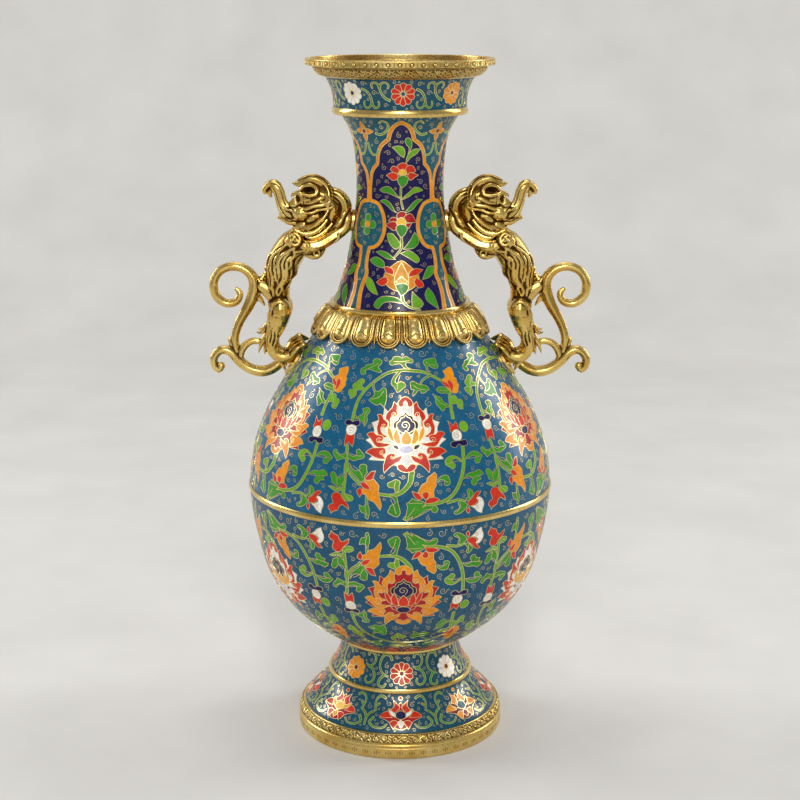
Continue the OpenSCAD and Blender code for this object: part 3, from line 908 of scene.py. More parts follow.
BODY_LEAVES = [
    ("green", [(-10, 120.9), (-12.6, 125), (-11, 127.3), (-10.5, 129.5), (-12.3, 131.4), (-14.9, 131.6),
     (-16.1, 130), (-15.2, 127.7), (-17.4, 126.8), (-19.7, 125.9), (-20.3, 124.1), (-22.2, 122.7),
     (-22.1, 119.5), (-20.6, 117.7), (-19, 118.6), (-19.4, 121.4), (-17.4, 122.7), (-15.2, 121.8),
     (-12, 120.5)]),
    ("lime", [(-17.8, 106.4), (-20, 108.6), (-18.7, 112.7), (-19.4, 114.1), (-21.3, 114.1), (-22.6, 111.8),
     (-24.8, 108.6), (-23.8, 105), (-26.1, 104.1), (-26.1, 102.3), (-24.5, 98.5), (-24, 96.8),
     (-21.6, 100.9), (-21.9, 104.1), (-20, 105), (-18.4, 105)]),
    ("lime", [(2.7, 124.1), (-0.1, 128), (-1.8, 127.7), (-5.6, 127.3), (-6.2, 129.5), (-4.6, 131.4),
     (-4, 133.2), (-1.8, 134.1), (0.2, 133.6), (1.3, 132.7), (2.8, 133.6), (3.8, 134.1), (5.7, 132.3),
     (7.6, 130.9), (7.6, 129.1), (5.7, 128.6), (4.4, 129.1), (3.1, 128.2), (3.8, 125.5), (6, 123.6)]),
    ("green", [(15, 121.8), (14.3, 126.4), (13.7, 127.3), (14, 130), (15.9, 131.1), (17.8, 131.4),
     (20.1, 131.8), (21.7, 130.5), (21.4, 127.7), (22.3, 125.5), (21.4, 123.2), (19.1, 123.4),
     (17.5, 124.5), (16.9, 125.5), (15.8, 124.5), (15.9, 122.3), (17.2, 120)]),
    ("green", [(8.9, 111.4), (7.3, 113.2), (6, 113.2), (5.2, 111.8), (5.5, 109.1), (5.7, 106.4),
     (7.3, 106.4), (6.3, 103.6), (6.2, 100.9), (7.9, 103.2), (8.9, 105.5), (10.2, 105.5), (10.5, 103.2),
     (12.4, 103.6), (13.4, 105), (14.6, 105.5), (14.3, 107.7), (13, 109.5), (11.8, 110)]),
    ("lime", [(-0.5, 121.5), (-2.7, 118.6), (-4.2, 115), (-4.5, 110.9), (-3, 108.6), (-2.1, 106.4),
     (-1.4, 104.1), (-0.2, 105), (1.4, 107.3), (3, 109.5), (2.4, 111.8), (0.2, 113.2), (-1.1, 111.8),
     (-2.4, 112.3), (-2.4, 115), (-1.4, 117.7), (0.6, 121.5)]),
    ("green", [(-12.6, 104.6), (-10.1, 105), (-8.8, 107.7), (-7.2, 107.3), (-6.6, 103.6), (-6.4, 100),
     (-7.2, 91.5), (-9.3, 94.5), (-10.7, 93.3), (-12.5, 94.5), (-14.9, 97), (-13.9, 99), (-12.6, 101)]),
    ("green", [(-18.5, 83), (-16.5, 86), (-17, 90), (-14.4, 90.8), (-13.5, 88.5), (-14.6, 84.5),
     (-14.2, 80.5), (-15, 75.8), (-16.2, 79), (-17.6, 80.5)]),
    ("green", [(16.1, 102.1), (18.2, 99.8), (19.9, 98.6), (20.4, 95.6), (22, 93.3), (23, 92.1),
     (22.7, 90.4), (20.9, 90.4), (20.6, 88.6), (19.2, 87.4), (18.5, 89.8), (17.1, 93.3), (16.8, 95.1),
     (17.1, 96.8)]),
    ("lime", [(24.4, 95), (25.5, 99.2), (27.5, 99.2), (28.2, 96.2), (30.3, 95.1), (30.1, 90.4),
     (29.6, 87.4), (27.9, 88), (27, 90.4), (27.5, 91.5), (26.5, 92.7), (25.1, 92.1)]),
    ("green", [(18.2, 105.4), (19.2, 106.8), (22, 107.4), (23.7, 106.2), (25.5, 103.3), (23.7, 100.9),
     (23, 102.1), (21.3, 101.8), (19.2, 103.3)]),
    ("lime", [(24, 47.5), (22.5, 50.5), (20.7, 52), (19, 51.5), (17.3, 48.5), (17.3, 45.5), (18.8, 43.5),
     (19.9, 41.5), (20.9, 42.5), (21.1, 45.5), (20.2, 47), (20.7, 49.5), (22.3, 49), (23.7, 46)]),
    ("green", [(25.8, 48), (27, 51.5), (28.9, 53.3), (31, 53), (33.4, 49), (32, 46), (31.5, 44),
     (30.5, 43.5), (29.5, 45), (29.8, 47.5), (30.6, 49.3), (28.5, 50), (26.8, 48.5)]),
    ("green", [(23.7, 33), (25.1, 36), (26.8, 37.5), (28.7, 37.5), (30.1, 39), (32, 36.5), (32.4, 35),
     (30.5, 33.5), (31.2, 31), (29.5, 30.5), (28.8, 27.5), (27.6, 27.2), (26.8, 30), (27.6, 33),
     (26.5, 34.5), (24.5, 33.5)]),
    ("green", [(13.6, 32.5), (14.5, 36), (16.2, 37.5), (17.8, 37), (18.3, 34), (18.5, 31), (17.4, 29.3),
     (16.2, 30), (16.4, 32.5), (15.9, 34.5), (14.8, 34.5), (14, 32)]),
    ("green", [(2.2, 17), (3.4, 18.5), (4.4, 21), (5.6, 19.5), (7.9, 18.5), (9.2, 16.5), (6.4, 12),
     (2.7, 15)]),
    ("green", [(2.7, 15), (4.4, 13.8), (5.8, 15), (6, 12), (6, 9.5), (3.9, 6), (1.8, 3.8)]),
    ("green", [(11.2, 15), (12.6, 14.5), (13.6, 11), (13.1, 9.5), (11.5, 9.5), (11.2, 11.5), (9.8, 12),
     (8.4, 10), (5.8, 6.5), (3.7, 3.8), (6.6, 12.6)]),
    ("green", [(24, 17), (25.1, 19.5), (24.9, 24), (25.8, 25.3), (26.6, 24), (27.3, 20.5), (26.3, 18),
     (25.4, 15.5)]),
    ("green", [(24.7, 12), (23.7, 9.5), (22.5, 7.5), (19.9, 6.5), (19.4, 8), (20.7, 10), (21.6, 11),
     (21.4, 13.5), (21.1, 15), (22.2, 16.4)]),
    ("lime", [(-21.3, 23.4), (-20.1, 22.6), (-18.2, 22), (-16.8, 19.5), (-17.5, 17.5), (-19.1, 17),
     (-20.3, 18), (-21.2, 20)]),
    ("green", [(-21.3, 55), (-22.2, 53), (-23.9, 52.5), (-25, 54.5), (-25.5, 56), (-26.7, 55),
     (-26.7, 52.5), (-25.3, 49.5), (-24.6, 47), (-23.2, 48.5), (-21.7, 49.5), (-20.9, 50)]),
    ("green", [(-20.5, 54.5), (-19.4, 52.5), (-17.5, 52), (-16.8, 53.5), (-17.3, 56.5), (-16.1, 58),
     (-14.9, 55.5), (-13.7, 52.5), (-14.7, 50.3), (-15.8, 50), (-17.3, 48.5), (-18.9, 49), (-20.1, 50)]),
    ("green", [(-19.3, 46.5), (-17.7, 42), (-15.8, 41), (-14.9, 42.5), (-15.4, 44.5), (-14, 46.5),
     (-12.5, 45.5), (-12.5, 42.5), (-12.1, 40.5), (-13, 37.5), (-13.2, 34), (-14.9, 33), (-15.4, 34.6),
     (-18, 39.5)]),
    ("green", [(-20.9, 40), (-21.3, 37), (-22.2, 35), (-23.6, 34.5), (-24.3, 37), (-25.5, 38.5),
     (-26.5, 36.5), (-25.8, 33), (-25.5, 30), (-24.3, 29), (-23.2, 26), (-22, 28), (-20.8, 32)]),
    ("lime", [(-26.9, 27), (-25.3, 25), (-23.6, 23.5), (-21.7, 25), (-20.6, 27), (-22, 27), (-23.4, 25.5),
     (-24.6, 27.5)]),
    ("lime", [(-1.7, 25.6), (-2.2, 29), (-4, 29.5), (-4.5, 32.5), (-3.1, 34), (-1.4, 35.5), (0, 34),
     (-0.3, 30.5), (-0.7, 26.2)]),
    ("green", [(-4, 23), (-2.2, 20), (-1.7, 17), (-3.3, 15.5), (-3.8, 13), (-4.4, 10.5), (-2.9, 8),
     (-1, 6.5), (0, 9), (-0.2, 13.5), (-0.7, 17.5), (-1.4, 22.6)]),
    ("green", [(-12.3, 22.5), (-11.6, 19.5), (-11.4, 15.5), (-10.9, 12), (-10.9, 8), (-11.4, 4), (-12.3, 5),
     (-12.5, 8.5), (-13.7, 9), (-14.4, 12), (-14.7, 15), (-13, 14), (-12.1, 15.5), (-12.5, 20)]),
]
BODY_FLOWERS = [
    ("orange", [(24.2, 114.5), (24.9, 116.4), (24.6, 118.6), (24.2, 120.5), (25.8, 121.4), (27.8, 122.7),
     (28.7, 123.2), (30, 122.3), (30.3, 119.5), (30.3, 116.4), (30, 114.5), (31, 113.2), (30.7, 110),
     (31.3, 108.2), (30.3, 104.5), (29.4, 101.4), (27.8, 100.9), (26.2, 101.8), (23.6, 107.5),
     (22.6, 113.6)]),
    ("scarlet", [(21.8, 112.7), (24.9, 110), (26.2, 107.3), (25.5, 105.5), (23.6, 107.7), (22.3, 110.5)]),
    ("scarlet", [(26.8, 112.7), (28.1, 108.2), (27.1, 104.1), (26.3, 101.8), (25.8, 106.8), (25.4, 111.4)]),
    ("orange", [(12.9, 40.5), (13.6, 37.5), (13.1, 33), (13.3, 30.5), (12.4, 27.5), (12.2, 24.5),
     (12.2, 20.5), (10.3, 20), (7.4, 22), (6.5, 25.5), (7, 28), (8.1, 31.5), (9.6, 33), (10, 36),
     (11.2, 38)]),
    ("scarlet", [(4.3, 26.5), (7, 24), (7.7, 20.5), (6.7, 19.5), (5.1, 22.5)]),
    ("scarlet", [(8.1, 24.5), (9.3, 26), (10.3, 24.5), (9.8, 20.5), (8.9, 19.5)]),
    ("scarlet", [(10.7, 21), (13.3, 20.5), (14.3, 19), (12.2, 17), (8.9, 16.5), (9.3, 19)]),
    ("scarlet", [(30.6, 22), (28.7, 22), (27.3, 19), (26.3, 17), (24.9, 14.5), (25.4, 11.5), (26.6, 11.5),
     (28.4, 13), (28.9, 15), (28.7, 17.5), (29.6, 19.5)]),
    ("scarlet", [(24.2, 8.5), (25.1, 5.5), (25.8, 9), (25.2, 11)]),
    ("white", [(28.4, 17), (29.4, 18), (31, 15.5), (31.4, 10), (30.9, 8), (30.6, 4.5), (28.7, 6.5),
     (27.7, 9), (26.3, 11), (28.4, 12), (29.4, 14.5)]),
    ("scarlet", [(-25.3, 19.5), (-23.9, 23), (-22.2, 22.5), (-21.3, 20), (-20.1, 17), (-18.9, 14.5),
     (-18.4, 10.5), (-19.9, 12.5), (-21, 14), (-22.2, 12), (-22.7, 9), (-24.3, 8), (-25.3, 5.5),
     (-25.8, 8.5), (-26.5, 10), (-25.8, 13), (-24.6, 14), (-25, 17)]),
    ("orange", [(-10.2, 36), (-8.8, 33.5), (-7.6, 30.5), (-7.7, 27), (-7.6, 24), (-7.1, 20), (-6.6, 15.5),
     (-7, 11.5), (-8.1, 14.5), (-9.5, 18), (-11.4, 19.5), (-12.5, 23), (-14, 24), (-13.7, 27.5),
     (-12.8, 30), (-13, 34), (-11.6, 35)]),
    ("scarlet", [(-9, 41.8), (-9.5, 39), (-10.2, 35), (-12.5, 34.5), (-13, 35), (-11.8, 38.5),
     (-10.7, 41)]),
    ("scarlet", [(-14.4, 32.5), (-12.8, 32.5), (-11.4, 30), (-10.7, 27), (-12.5, 27.5), (-14, 29.5)]),
    ("scarlet", [(-14.4, 28.5), (-13.7, 25), (-14.5, 20.8), (-15.4, 23.5), (-15.8, 26)]),
]
BODY_BUDS = [
    ("lime", ellipse((27.6, 73.6), 2.0, 4.4, 8)),
    ("scarlet", [(20.8, 79.8), (22.9, 75.1), (24.4, 78.6), (24.9, 75.1), (24.4, 70), (22.8, 69.6),
     (21.3, 70), (21.3, 75.1)]),
    ("white", ellipse((23.7, 67.2), 2.2, 4.8, 8)),
    ("navy", [(24.9, 62.9), (27.4, 63), (27.8, 59.2), (25.6, 58.4), (23.9, 60.4), (22.4, 57.9),
     (20.4, 59.6), (20.8, 62.2), (23, 63)]),
    ("scarlet", [(-22.5, 59), (-20.8, 62.6), (-19, 59), (-18.7, 64), (-18.8, 69.6), (-22.4, 69.6),
     (-22.6, 64)]),
    ("white", ellipse((-20.6, 72.7), 2.3, 4.9, 8)),
    ("navy", [(-20.6, 76.6), (-22.6, 75.6), (-24, 77), (-23.4, 80), (-21.6, 79.8), (-20.6, 78.6),
     (-19.6, 79.8), (-17.8, 80), (-17.2, 77), (-18.6, 75.6)]),
]
BODY_CURLS = [((23.7, 67.4), 2.9, 40), ((-20.6, 72.4), 2.9, 220), ((28.9, 9.8), 1.7, 80)]


def add_body_scroll(design, flip_about=None):
    """The scroll of both halves of the body. The lower half has it upside down."""

    def turned(points):
        if flip_about is None:
            return design.plan(points)
        return design.plan([(angle, flip_about - along) for angle, along in points])

    for colour, wide, narrow, line in BODY_STEMS:
        design.stem(colour, turned(line), wide, narrow, "stem")
    for colour, outline in BODY_LEAVES:
        design.cell(colour, turned(outline), "leaf" if colour == "green" else "stem")
        design.vein(turned(outline))
    for colour, outline in BODY_FLOWERS + BODY_BUDS:
        design.cell(colour, turned(outline))
    for centre, radius, start in BODY_CURLS:
        place = turned([centre])[0]
        design.wire(spiral(place, radius, 1.5, start))


def rosette(design, centre, radius, petals, heart):
    """A round flower of separate petals, with a wire-edged heart."""
    for i in range(petals):
        petal = [(radius * 0.16, 0), (radius * 0.55, radius * 0.2), (radius * 0.86, radius * 0.24),
                 (radius, 0), (radius * 0.86, -radius * 0.24), (radius * 0.55, -radius * 0.2)]
        petal = turned_about(petal, (0, 0), 90 + 360 * i / petals)
        design.cell("petal", design.local(centre, smooth_line(petal, True)), smooth=False)
    design.cell("heart", design.local(centre, ellipse((0, 0), heart, heart, 12)), smooth=False)

# Neck panel, as (degrees from the panel's axis, millimetres up the neck). PANEL_EDGE is the middle
# of the orange band on the panel's right side, from the top down.
PANEL_EDGE = [(0, 153), (7, 149.5), (12.5, 143.5), (15, 137.5), (20.5, 135), (26, 131), (29.5, 125),
              (31, 118), (36, 115), (40, 111), (42.3, 104), (43.2, 96), (43, 88.6), (36, 88), (30, 86.5),
              (24.5, 81), (21, 73), (20.5, 68), (23, 60), (28, 54.5), (33, 52.3), (38.5, 51.6), (39.8, 44),
              (39.4, 37), (37.6, 31), (39.4, 25), (40.8, 17), (40.2, 9), (38.6, -2)]
PANEL_BAND = 2.7        # width of the orange band
PANEL_STEMS = [
    [(5, 119), (2, 110), (0, 100.4), (-0.5, 94.9), (0, 89.3), (2.5, 82.6)],
    [(0, 61), (0, 52.6), (-4, 48.2), (-8, 44.9)],
    [(0, 16), (2, 9.3), (8, 4.9), (16, 3.2)],
]
PANEL_LEAVES = [
    [(-11, 131.5), (-4, 132.6), (2, 131.5), (4.5, 128.2), (3.5, 123.2), (-1, 124.9), (-6, 128.2)],
    [(4.5, 137.6), (8, 139.3), (11.5, 137.1), (12.5, 131.5), (10.5, 128.2), (7.6, 124), (9, 131.5),
     (6, 133.8)],
    [(24, 129.9), (16, 129.9), (10, 127.1), (6.5, 122.6), (6, 118.9), (13, 123.8), (19, 126)],
    [(-29, 97.6), (-23, 99.9), (-16, 100.4), (-11, 98.2), (-6, 94.3), (-0.5, 91), (-11, 93.8), (-18, 95.4),
     (-25, 96)],
    [(29.5, 97.1), (24, 99.3), (18, 99.9), (12, 97.1), (6, 93.8), (-0.4, 90), (10, 92.6), (16, 94.9),
     (23, 96)],
    [(-28, 88.8), (-22, 90.4), (-16, 88.8), (-11, 84.9), (-7, 81), (0, 78.6), (-13, 82.6), (-19, 86)],
    [(29, 89.9), (22, 90.4), (16, 88.2), (11, 84.9), (3, 79.4), (15, 82.6), (22, 87.1)],
    [(-17, 63.8), (-11, 63.8), (-6, 60.4), (-1, 54.9), (-6, 51.5), (-11, 53.8), (-15, 58.2)],
    [(16, 64.9), (20.5, 60.4), (20, 56), (15, 52.6), (2, 51.4), (10, 58.2), (13, 61.5)],
    [(-29, 48.8), (-24, 49.9), (-16, 48.8), (-11, 46), (-6, 43.5), (-15, 43.8), (-22, 46)],
    [(-1, 48.3), (8, 50.4), (16, 47.1), (20, 42.6), (17, 40.4), (12, 42.6), (4, 46.2)],
    [(-36, 42.1), (-29, 44.9), (-23, 43.8), (-18, 39.3), (-19, 36.5), (-25, 37.1), (-31, 39.3)],
    [(36, 37.1), (30, 37.1), (25, 32.6), (21, 27.1), (28, 28.2), (34, 31.5)],
    [(-37, 24.9), (-35, 28.8), (-31, 27.1), (-26, 21.5), (-22, 14.9), (-27, 16), (-33, 19.3)],
    [(-24, 5.4), (-23, 10.4), (-18, 13.8), (-12, 14.3), (-3, 12.6), (2, 8.4), (-10, 9.9), (-15, 9.3),
     (-20, 3.8)],
    [(10, 18.2), (9, 12.6), (9, 5.1), (16, 4.9), (19, 7.1), (17, 11.5), (13, 14.9)],
    [(26, 20.4), (22, 16), (23, 10.4), (28, 6), (33, 2.6), (32, 10.4), (30, 16)],
]
PANEL_LIME = {0, 2, 4, 7, 10, 13, 15}
PANEL_FLOWERS = [
    ("top", [(-5, 116.5), (2, 119.3), (9, 117.1), (8, 112.8), (-4, 112.8)]),
    ("top", [(9, 117.1), (15, 116.5), (19, 112.6), (10, 109.4), (5, 113)]),
    ("top", [(23, 109.3), (18, 107.6), (12, 105.4), (8, 107.6), (10, 111)]),
    ("top", [(-6, 116), (-11, 116.5), (-14, 113.8), (-6, 110.4), (-2, 113)]),
    ("top", [(-19.5, 109.3), (-12, 111.6), (-5, 110.3), (-4, 107.2), (-9, 105.3)]),
    ("yellow", [(-4, 110), (-2, 113.2), (2, 114.3), (6, 113.2), (7, 110), (2, 108.6)]),
    ("green", [(-4.6, 107.1), (2, 109.3), (9.5, 107.6), (7, 102.6), (1, 99.6), (-3, 102.6)]),
    ("middle", [(-5.5, 78.2), (-1, 81), (5, 80.4), (6, 75), (-4, 75)]),
    ("middle", [(6, 78.2), (12, 79.3), (16, 76), (19, 72.6), (13, 72.1), (6, 73), (3, 76)]),
    ("middle", [(6, 71.5), (13, 72), (9, 67.6), (4, 69.4)]),
    ("middle", [(-6, 76), (-11, 76.5), (-16, 73.8), (-10, 72.6), (-4, 73.4)]),
    ("middle", [(-19, 70.4), (-12, 73), (-5, 72.1), (-4, 69), (-8, 66), (-13, 67.6)]),
    ("yellow", [(-5, 70.4), (-4.6, 74.8), (0, 76.5), (4.6, 75), (5.2, 70.4), (0, 69.4)]),
    ("green", [(-6, 69.3), (0, 71), (7, 69), (5, 63.8), (0, 60.4), (-4, 63.8)]),
    ("backing", [(-18, 30), (-9, 39), (0, 42.5), (9, 38), (18, 29), (13, 22), (0, 18), (-13, 22)]),
    ("bottom", [(-18.5, 37.6), (-14, 37.6), (-9, 35.8), (-8, 31), (-16, 33.4)]),
    ("bottom", [(-25, 24.9), (-20, 28.6), (-15, 29.6), (-13.4, 26), (-19, 22.2)]),
    ("bottom", [(23, 34.9), (14, 36), (8, 33), (7, 29.3), (16, 31.1)]),
    ("bottom", [(21.5, 21.5), (20, 26), (15, 28.6), (12.4, 26), (16, 20.4)]),
    ("amber", [(-5, 22), (-7, 29), (-3.6, 36), (0, 41.5), (3.6, 36), (7, 29), (5, 22)]),
    ("yellow", [(0, 30), (6, 26), (0, 22.4), (-6, 26)]),
    ("green", [(-6, 23.2), (0, 24.6), (6, 23.2), (4, 17.1), (-0.6, 14.6), (-4, 19.3)]),
]


def crossed_flower(design, centre, colour, half_petal):
    """Four petals set crosswise, each given by its right half from the middle outwards."""
    petal = both_sides(half_petal)
    for turn in (0, 90, 180, 270):
        outline = smooth_line(turned_about(petal, (0, 0), turn), True)
        design.cell(colour, design.local(centre, outline), smooth=False)


def neck_design():
    """The neck: a panel of flowers under a cusped arch, four times round the vase."""
    low, high = zone_limits(neck_face, "neck_enamel")
    design = Design(neck_face, 1.5, 90, low, high, "teal")
    axis = design.axis

    def put(points):
        return design.plan([(angle + axis, along) for angle, along in points])

    edge = smooth_line(put(PANEL_EDGE), False, sharp=34)
    panel = edge + [(-x, y) for x, y in reversed(edge)]
    design.cell("navy", panel, smooth=False)
    design.bare = ["navy"]
    for side in (1, -1):
        band = np.array([(side * x, y) for x, y in edge])
        reach = sides_of(band) * PANEL_BAND / 2
        outline = [tuple(point) for point in (*(band + reach), *(band - reach)[::-1])]
        design.cell("orange", outline, "band", smooth=False)
    design.cell("orange", design.local((axis, 152.4), ellipse((0, 0), 1.9, 1.9)), "band")
    for line in PANEL_STEMS:
        design.stem("leaf", put(line), 1.7, 1.1, "stem")
    for i, outline in enumerate(PANEL_LEAVES):
        design.cell("lime" if i in PANEL_LIME else "green", put(outline))
    for colour, outline in PANEL_FLOWERS:
        design.cell(colour, put(outline))
    # Medallion between two panels: four green petals round an orange heart
    middle = (axis + 45, 70)
    crossed_flower(design, middle, "green", [(0, 1.4), (2.6, 3.4), (3.1, 6.4), (0, 8.6)])
    design.cell("orange", design.local(middle, ellipse((0, 0), 2.9, 2.4)))
    # Spandrel between two panel tops: a four-petalled flower with tendrils
    top = (axis + 45, 144)
    crossed_flower(design, top, "orange", [(0, 0.8), (2.5, 3.6), (1.7, 6.2), (0, 9.2)])
    design.cell("maroon", design.local(top, ellipse((0, 0), 2, 2)))
    for side in (1, -1):
        tendril = [(2, 134.3), (4, 128.2), (9, 124.9), (15, 126), (17, 129.3)]
        scroll = [(15, 142.6), (21, 141.5), (27, 143.8), (31, 148.2), (30, 152.6), (25, 153.8),
                  (22, 151.5)]
        for line in (tendril, scroll):
            points = put([(45 + side * angle, along) for angle, along in line])
            design.stem("leaf", points, 1.7, 0.9, "stem")
    for side in (-1, 1):
        design.wire(spiral(put([(21 * side, 148)])[0], 1.82, 1.4, 90))
    return design


NECK_SHADES = [
    {"top": "scarlet", "middle": "crimson", "bottom": "scarlet", "backing": "orange"},
    {"top": "orange", "middle": "scarlet", "bottom": "crimson", "backing": "amber"},
]

COLLAR_SCROLLS = [
    [(13, 21.5), (16, 20.4), (19, 17.5), (21, 13.5), (20.8, 10), (18.9, 7.3), (16.6, 6.6), (14.4, 8),
     (13.9, 10.5), (14.9, 12)],
    [(21.3, 11.5), (21.8, 9), (23.8, 7), (26.4, 7.2), (27.7, 9.5), (27, 12)],
]


def collar_design():
    """The collar: a rosette between two pairs of scrolls, eight times round the vase."""
    low, high = zone_limits(collar_face, "collar_enamel")
    axis = 2.5
    design = Design(collar_face, axis, 45, low, high, "collar_ground")
    centre = (axis, 17.7)
    for line in COLLAR_SCROLLS:
        opposite = [(2 * axis + 45 - angle, 34 - along) for angle, along in line]
        for points in (line, opposite):
            design.stem("green", design.plan(points), 1.7, 1.0, "stem")
    rosette(design, centre, 9.4, 10, 1.8)
    return design


COLLAR_SHADES = [
    {"petal": "scarlet", "heart": "teal"},
    {"petal": "orange", "heart": "maroon"},
    {"petal": "scarlet", "heart": "amber"},
    {"petal": "white", "heart": "navy"},
]

STEM_SCROLLS = [
    [(12, 66), (13, 69), (17, 69), (20, 65), (18.6, 60), (13.6, 57.6), (10.6, 59)],
    [(12.6, 57.6), (17, 56), (20.5, 50), (19, 45), (15, 43.5), (12.5, 46), (13.5, 49)],
    [(36, 64), (34, 68), (29, 68.5), (25, 63), (25, 57), (29, 52), (33, 50.5)],
    [(29, 51.4), (25.4, 47), (25.4, 43), (30, 42), (31.5, 45)],
]


def foot_stem_design():
    """The foot's upper zone: a rosette and scrolls, eight times round the vase."""
    low, high = zone_limits(foot_face, "foot_stem_enamel")
    axis = 1.5
    design = Design(foot_face, axis, 45, low, high, "foot_ground")
    for line in STEM_SCROLLS:
        design.stem("green", design.plan([(axis + a, s) for a, s in line]), 1.9, 1.1, "stem")
    rosette(design, (axis, 53.3), 9.7, 10, 2.1)
    return design


FOOT_STEM_SHADES = [
    {"petal": "scarlet", "heart": "maroon"},
    {"petal": "white", "heart": "maroon"},
    {"petal": "scarlet", "heart": "amber"},
    {"petal": "orange", "heart": "maroon"},
]

# Flower of the foot, in degrees from its axis and millimetres up the foot: right halves
FLARE_BACK = [(0, 30), (4.6, 24), (8.5, 23.9), (9, 18.6), (14, 16), (8, 13), (5, 8.8), (0, 6.2)]
FLARE_PETALS = [
    ("outer", [(5.5, 31.7), (3, 28.9), (0.6, 25.8), (2.6, 22.2), (5, 20.8), (6.5, 22.7), (4.7, 27)]),
    ("inner", [(8.5, 23.9), (7, 19.6), (3.6, 16.6), (3.4, 19.8), (5.6, 21.6)]),
    ("outer", [(14, 17), (12, 20.2), (9, 22), (7, 18.9), (5.4, 16.4), (10.4, 16.2)]),
    ("outer", [(4.9, 14), (7.2, 12), (5.7, 8.9), (4.5, 6.4), (3, 9.6), (1.3, 13)]),
]
FLARE_SCROLLS = [
    [(15.4, 28.3), (18, 24.6), (17, 21.4)],
    [(11, 32.6), (14, 34.6), (17, 33.4), (18.6, 28.4), (18, 24.6)],
    [(17.5, 16), (19.6, 10.8), (16, 7.4), (10, 8.3), (8.6, 10.8)],
    [(18, 21.4), (20.6, 19), (22.4, 14.6), (22.4, 8)],
]


def foot_flare_design():
    """The foot's lower zone: a flower and scrolls, eight times round the vase."""
    low, high = zone_limits(foot_face, "foot_flare_enamel")
    axis = 0.5
    design = Design(foot_face, axis, 45, low, high, "foot_ground")
    for line in FLARE_SCROLLS:
        for side in (1, -1):
            points = [(axis + side * angle, along) for angle, along in line]
            design.stem("green", design.plan(points), 1.8, 1.1, "stem")
    back = [(axis + angle, along) for angle, along in FLARE_BACK]
    design.cell("backing", design.plan(both_sides(back, axis)))
    for colour, half in FLARE_PETALS:
        for side in (1, -1):
            design.cell(colour, design.plan([(axis + side * a, s) for a, s in half]))
    middle = [(axis, 14.9), (axis + 3, 16.6), (axis + 3.2, 20.2), (axis, 22.7), (axis - 3.2, 20.2),
              (axis - 3, 16.6)]
    design.cell("jewel", design.plan(middle))
    design.cell("inner", design.plan([(axis, 14.6), (axis + 2, 12), (axis, 7.6), (axis - 2, 12)]))
    design.cell("outer", design.local((axis, 33.2), ellipse((0, 0), 1.7, 1.7)))
    return design


FOOT_FLARE_SHADES = [
    {"outer": "scarlet", "inner": "white", "jewel": "navy", "backing": "crimson"},
    {"outer": "orange", "inner": "maroon", "jewel": "teal", "backing": "maroon"},
    {"outer": "scarlet", "inner": "white", "jewel": "navy", "backing": "crimson"},
    {"outer": "scarlet", "inner": "amber", "jewel": "yellow", "backing": "crimson"},
]

RED_LOTUS = {"petal": "scarlet", "crown": "scarlet", "back": "white", "cup": "amber",
             "heart": "lilac", "wing": "navy"}
ORANGE_LOTUS = {"petal": "orange", "crown": "orange", "back": "crimson", "cup": "scarlet",
                "heart": "navy", "wing": "crimson"}


def body_design(face, node, ground, lotus_at, flip):
    """One half of the body: a lotus in its scroll, six times round the vase."""
    design = Design(face, lotus_at[0], 60, *zone_limits(face, node), ground)
    add_body_scroll(design, float(face.along[-1]) if flip else None)
    add_lotus(design, lotus_at)
    return design


def add_lappets(design, count, height):
    """Round-topped tabs standing on the lower edge of the body."""
    pitch = design.width / count
    half = pitch * 0.47
    for i in range(count):
        x = -design.width / 2 + (i + 0.5) * pitch
        for share, colour in ((1.0, "maroon"), (0.66, "scarlet")):
            wide, top = half * share, height * (0.35 + 0.65 * share)
            outline = [(x - wide, -4), (x + wide, -4), (x + wide, top * 0.62),
                       (x + wide * 0.72, top * 0.9), (x, top), (x - wide * 0.72, top * 0.9),
                       (x - wide, top * 0.62)]
            design.cell(colour, outline)


CURLS = [(4.5, 1400), (3.7, 1400), (2.9, 1200), (2.1, 500), (1.4, 200)]
LOWER_CURLS = CURLS[:3] + [(2.1, 150)]
SMALL_CURLS = [(3.1, 500), (2.5, 500), (1.7, 500), (1.15, 300)]

enamel_skin("collar", collar_design(), 8, COLLAR_SHADES, ["collar_enamel"],
            SMALL_CURLS, 4)
enamel_skin("neck", neck_design(), 4, NECK_SHADES, ["neck_enamel"], SMALL_CURLS)
enamel_skin("upper_body", body_design(upper_face, "upper_body_enamel", "upper_ground", (2.5, 70.5), False),
            6, [RED_LOTUS, ORANGE_LOTUS], ["upper_body_enamel"], CURLS)
lower_body = body_design(lower_face, "lower_body_enamel", "lower_ground", (1.4, 98), True)
add_lappets(lower_body, 4, 25)
enamel_skin("lower_body", lower_body, 6, [ORANGE_LOTUS, RED_LOTUS], ["lower_body_enamel"],
            LOWER_CURLS)
enamel_skin("foot_stem", foot_stem_design(), 8, FOOT_STEM_SHADES, ["foot_stem_enamel"],
            SMALL_CURLS, 4)
enamel_skin("foot_flare", foot_flare_design(), 8, FOOT_FLARE_SHADES, ["foot_flare_enamel"],
            SMALL_CURLS, 5)

# ---- gilt rings with relief ---------------------------------------------------------------------


def distance_to(u, v, lines):
    """Distance of each point (u, v) from the nearest of the lines."""
    best = np.full(u.shape, 1e9)
    for line in lines:
        line = np.array(line, float)
        for a, b in zip(line[:-1], line[1:]):
            leg = b - a
            share = ((u - a[0]) * leg[0] + (v - a[1]) * leg[1]) / max(float(leg @ leg), 1e-9)
            share = np.clip(share, 0, 1)
            best = np.minimum(best, np.hypot(u - a[0] - share * leg[0], v - a[1] - share * leg[1]))
    return best


def ridge(distance, half_width):
    """1 on a line, falling in a round curve to 0 at half_width from it."""
    return np.sqrt(np.clip(1 - (distance / half_width) ** 2, 0, 1))


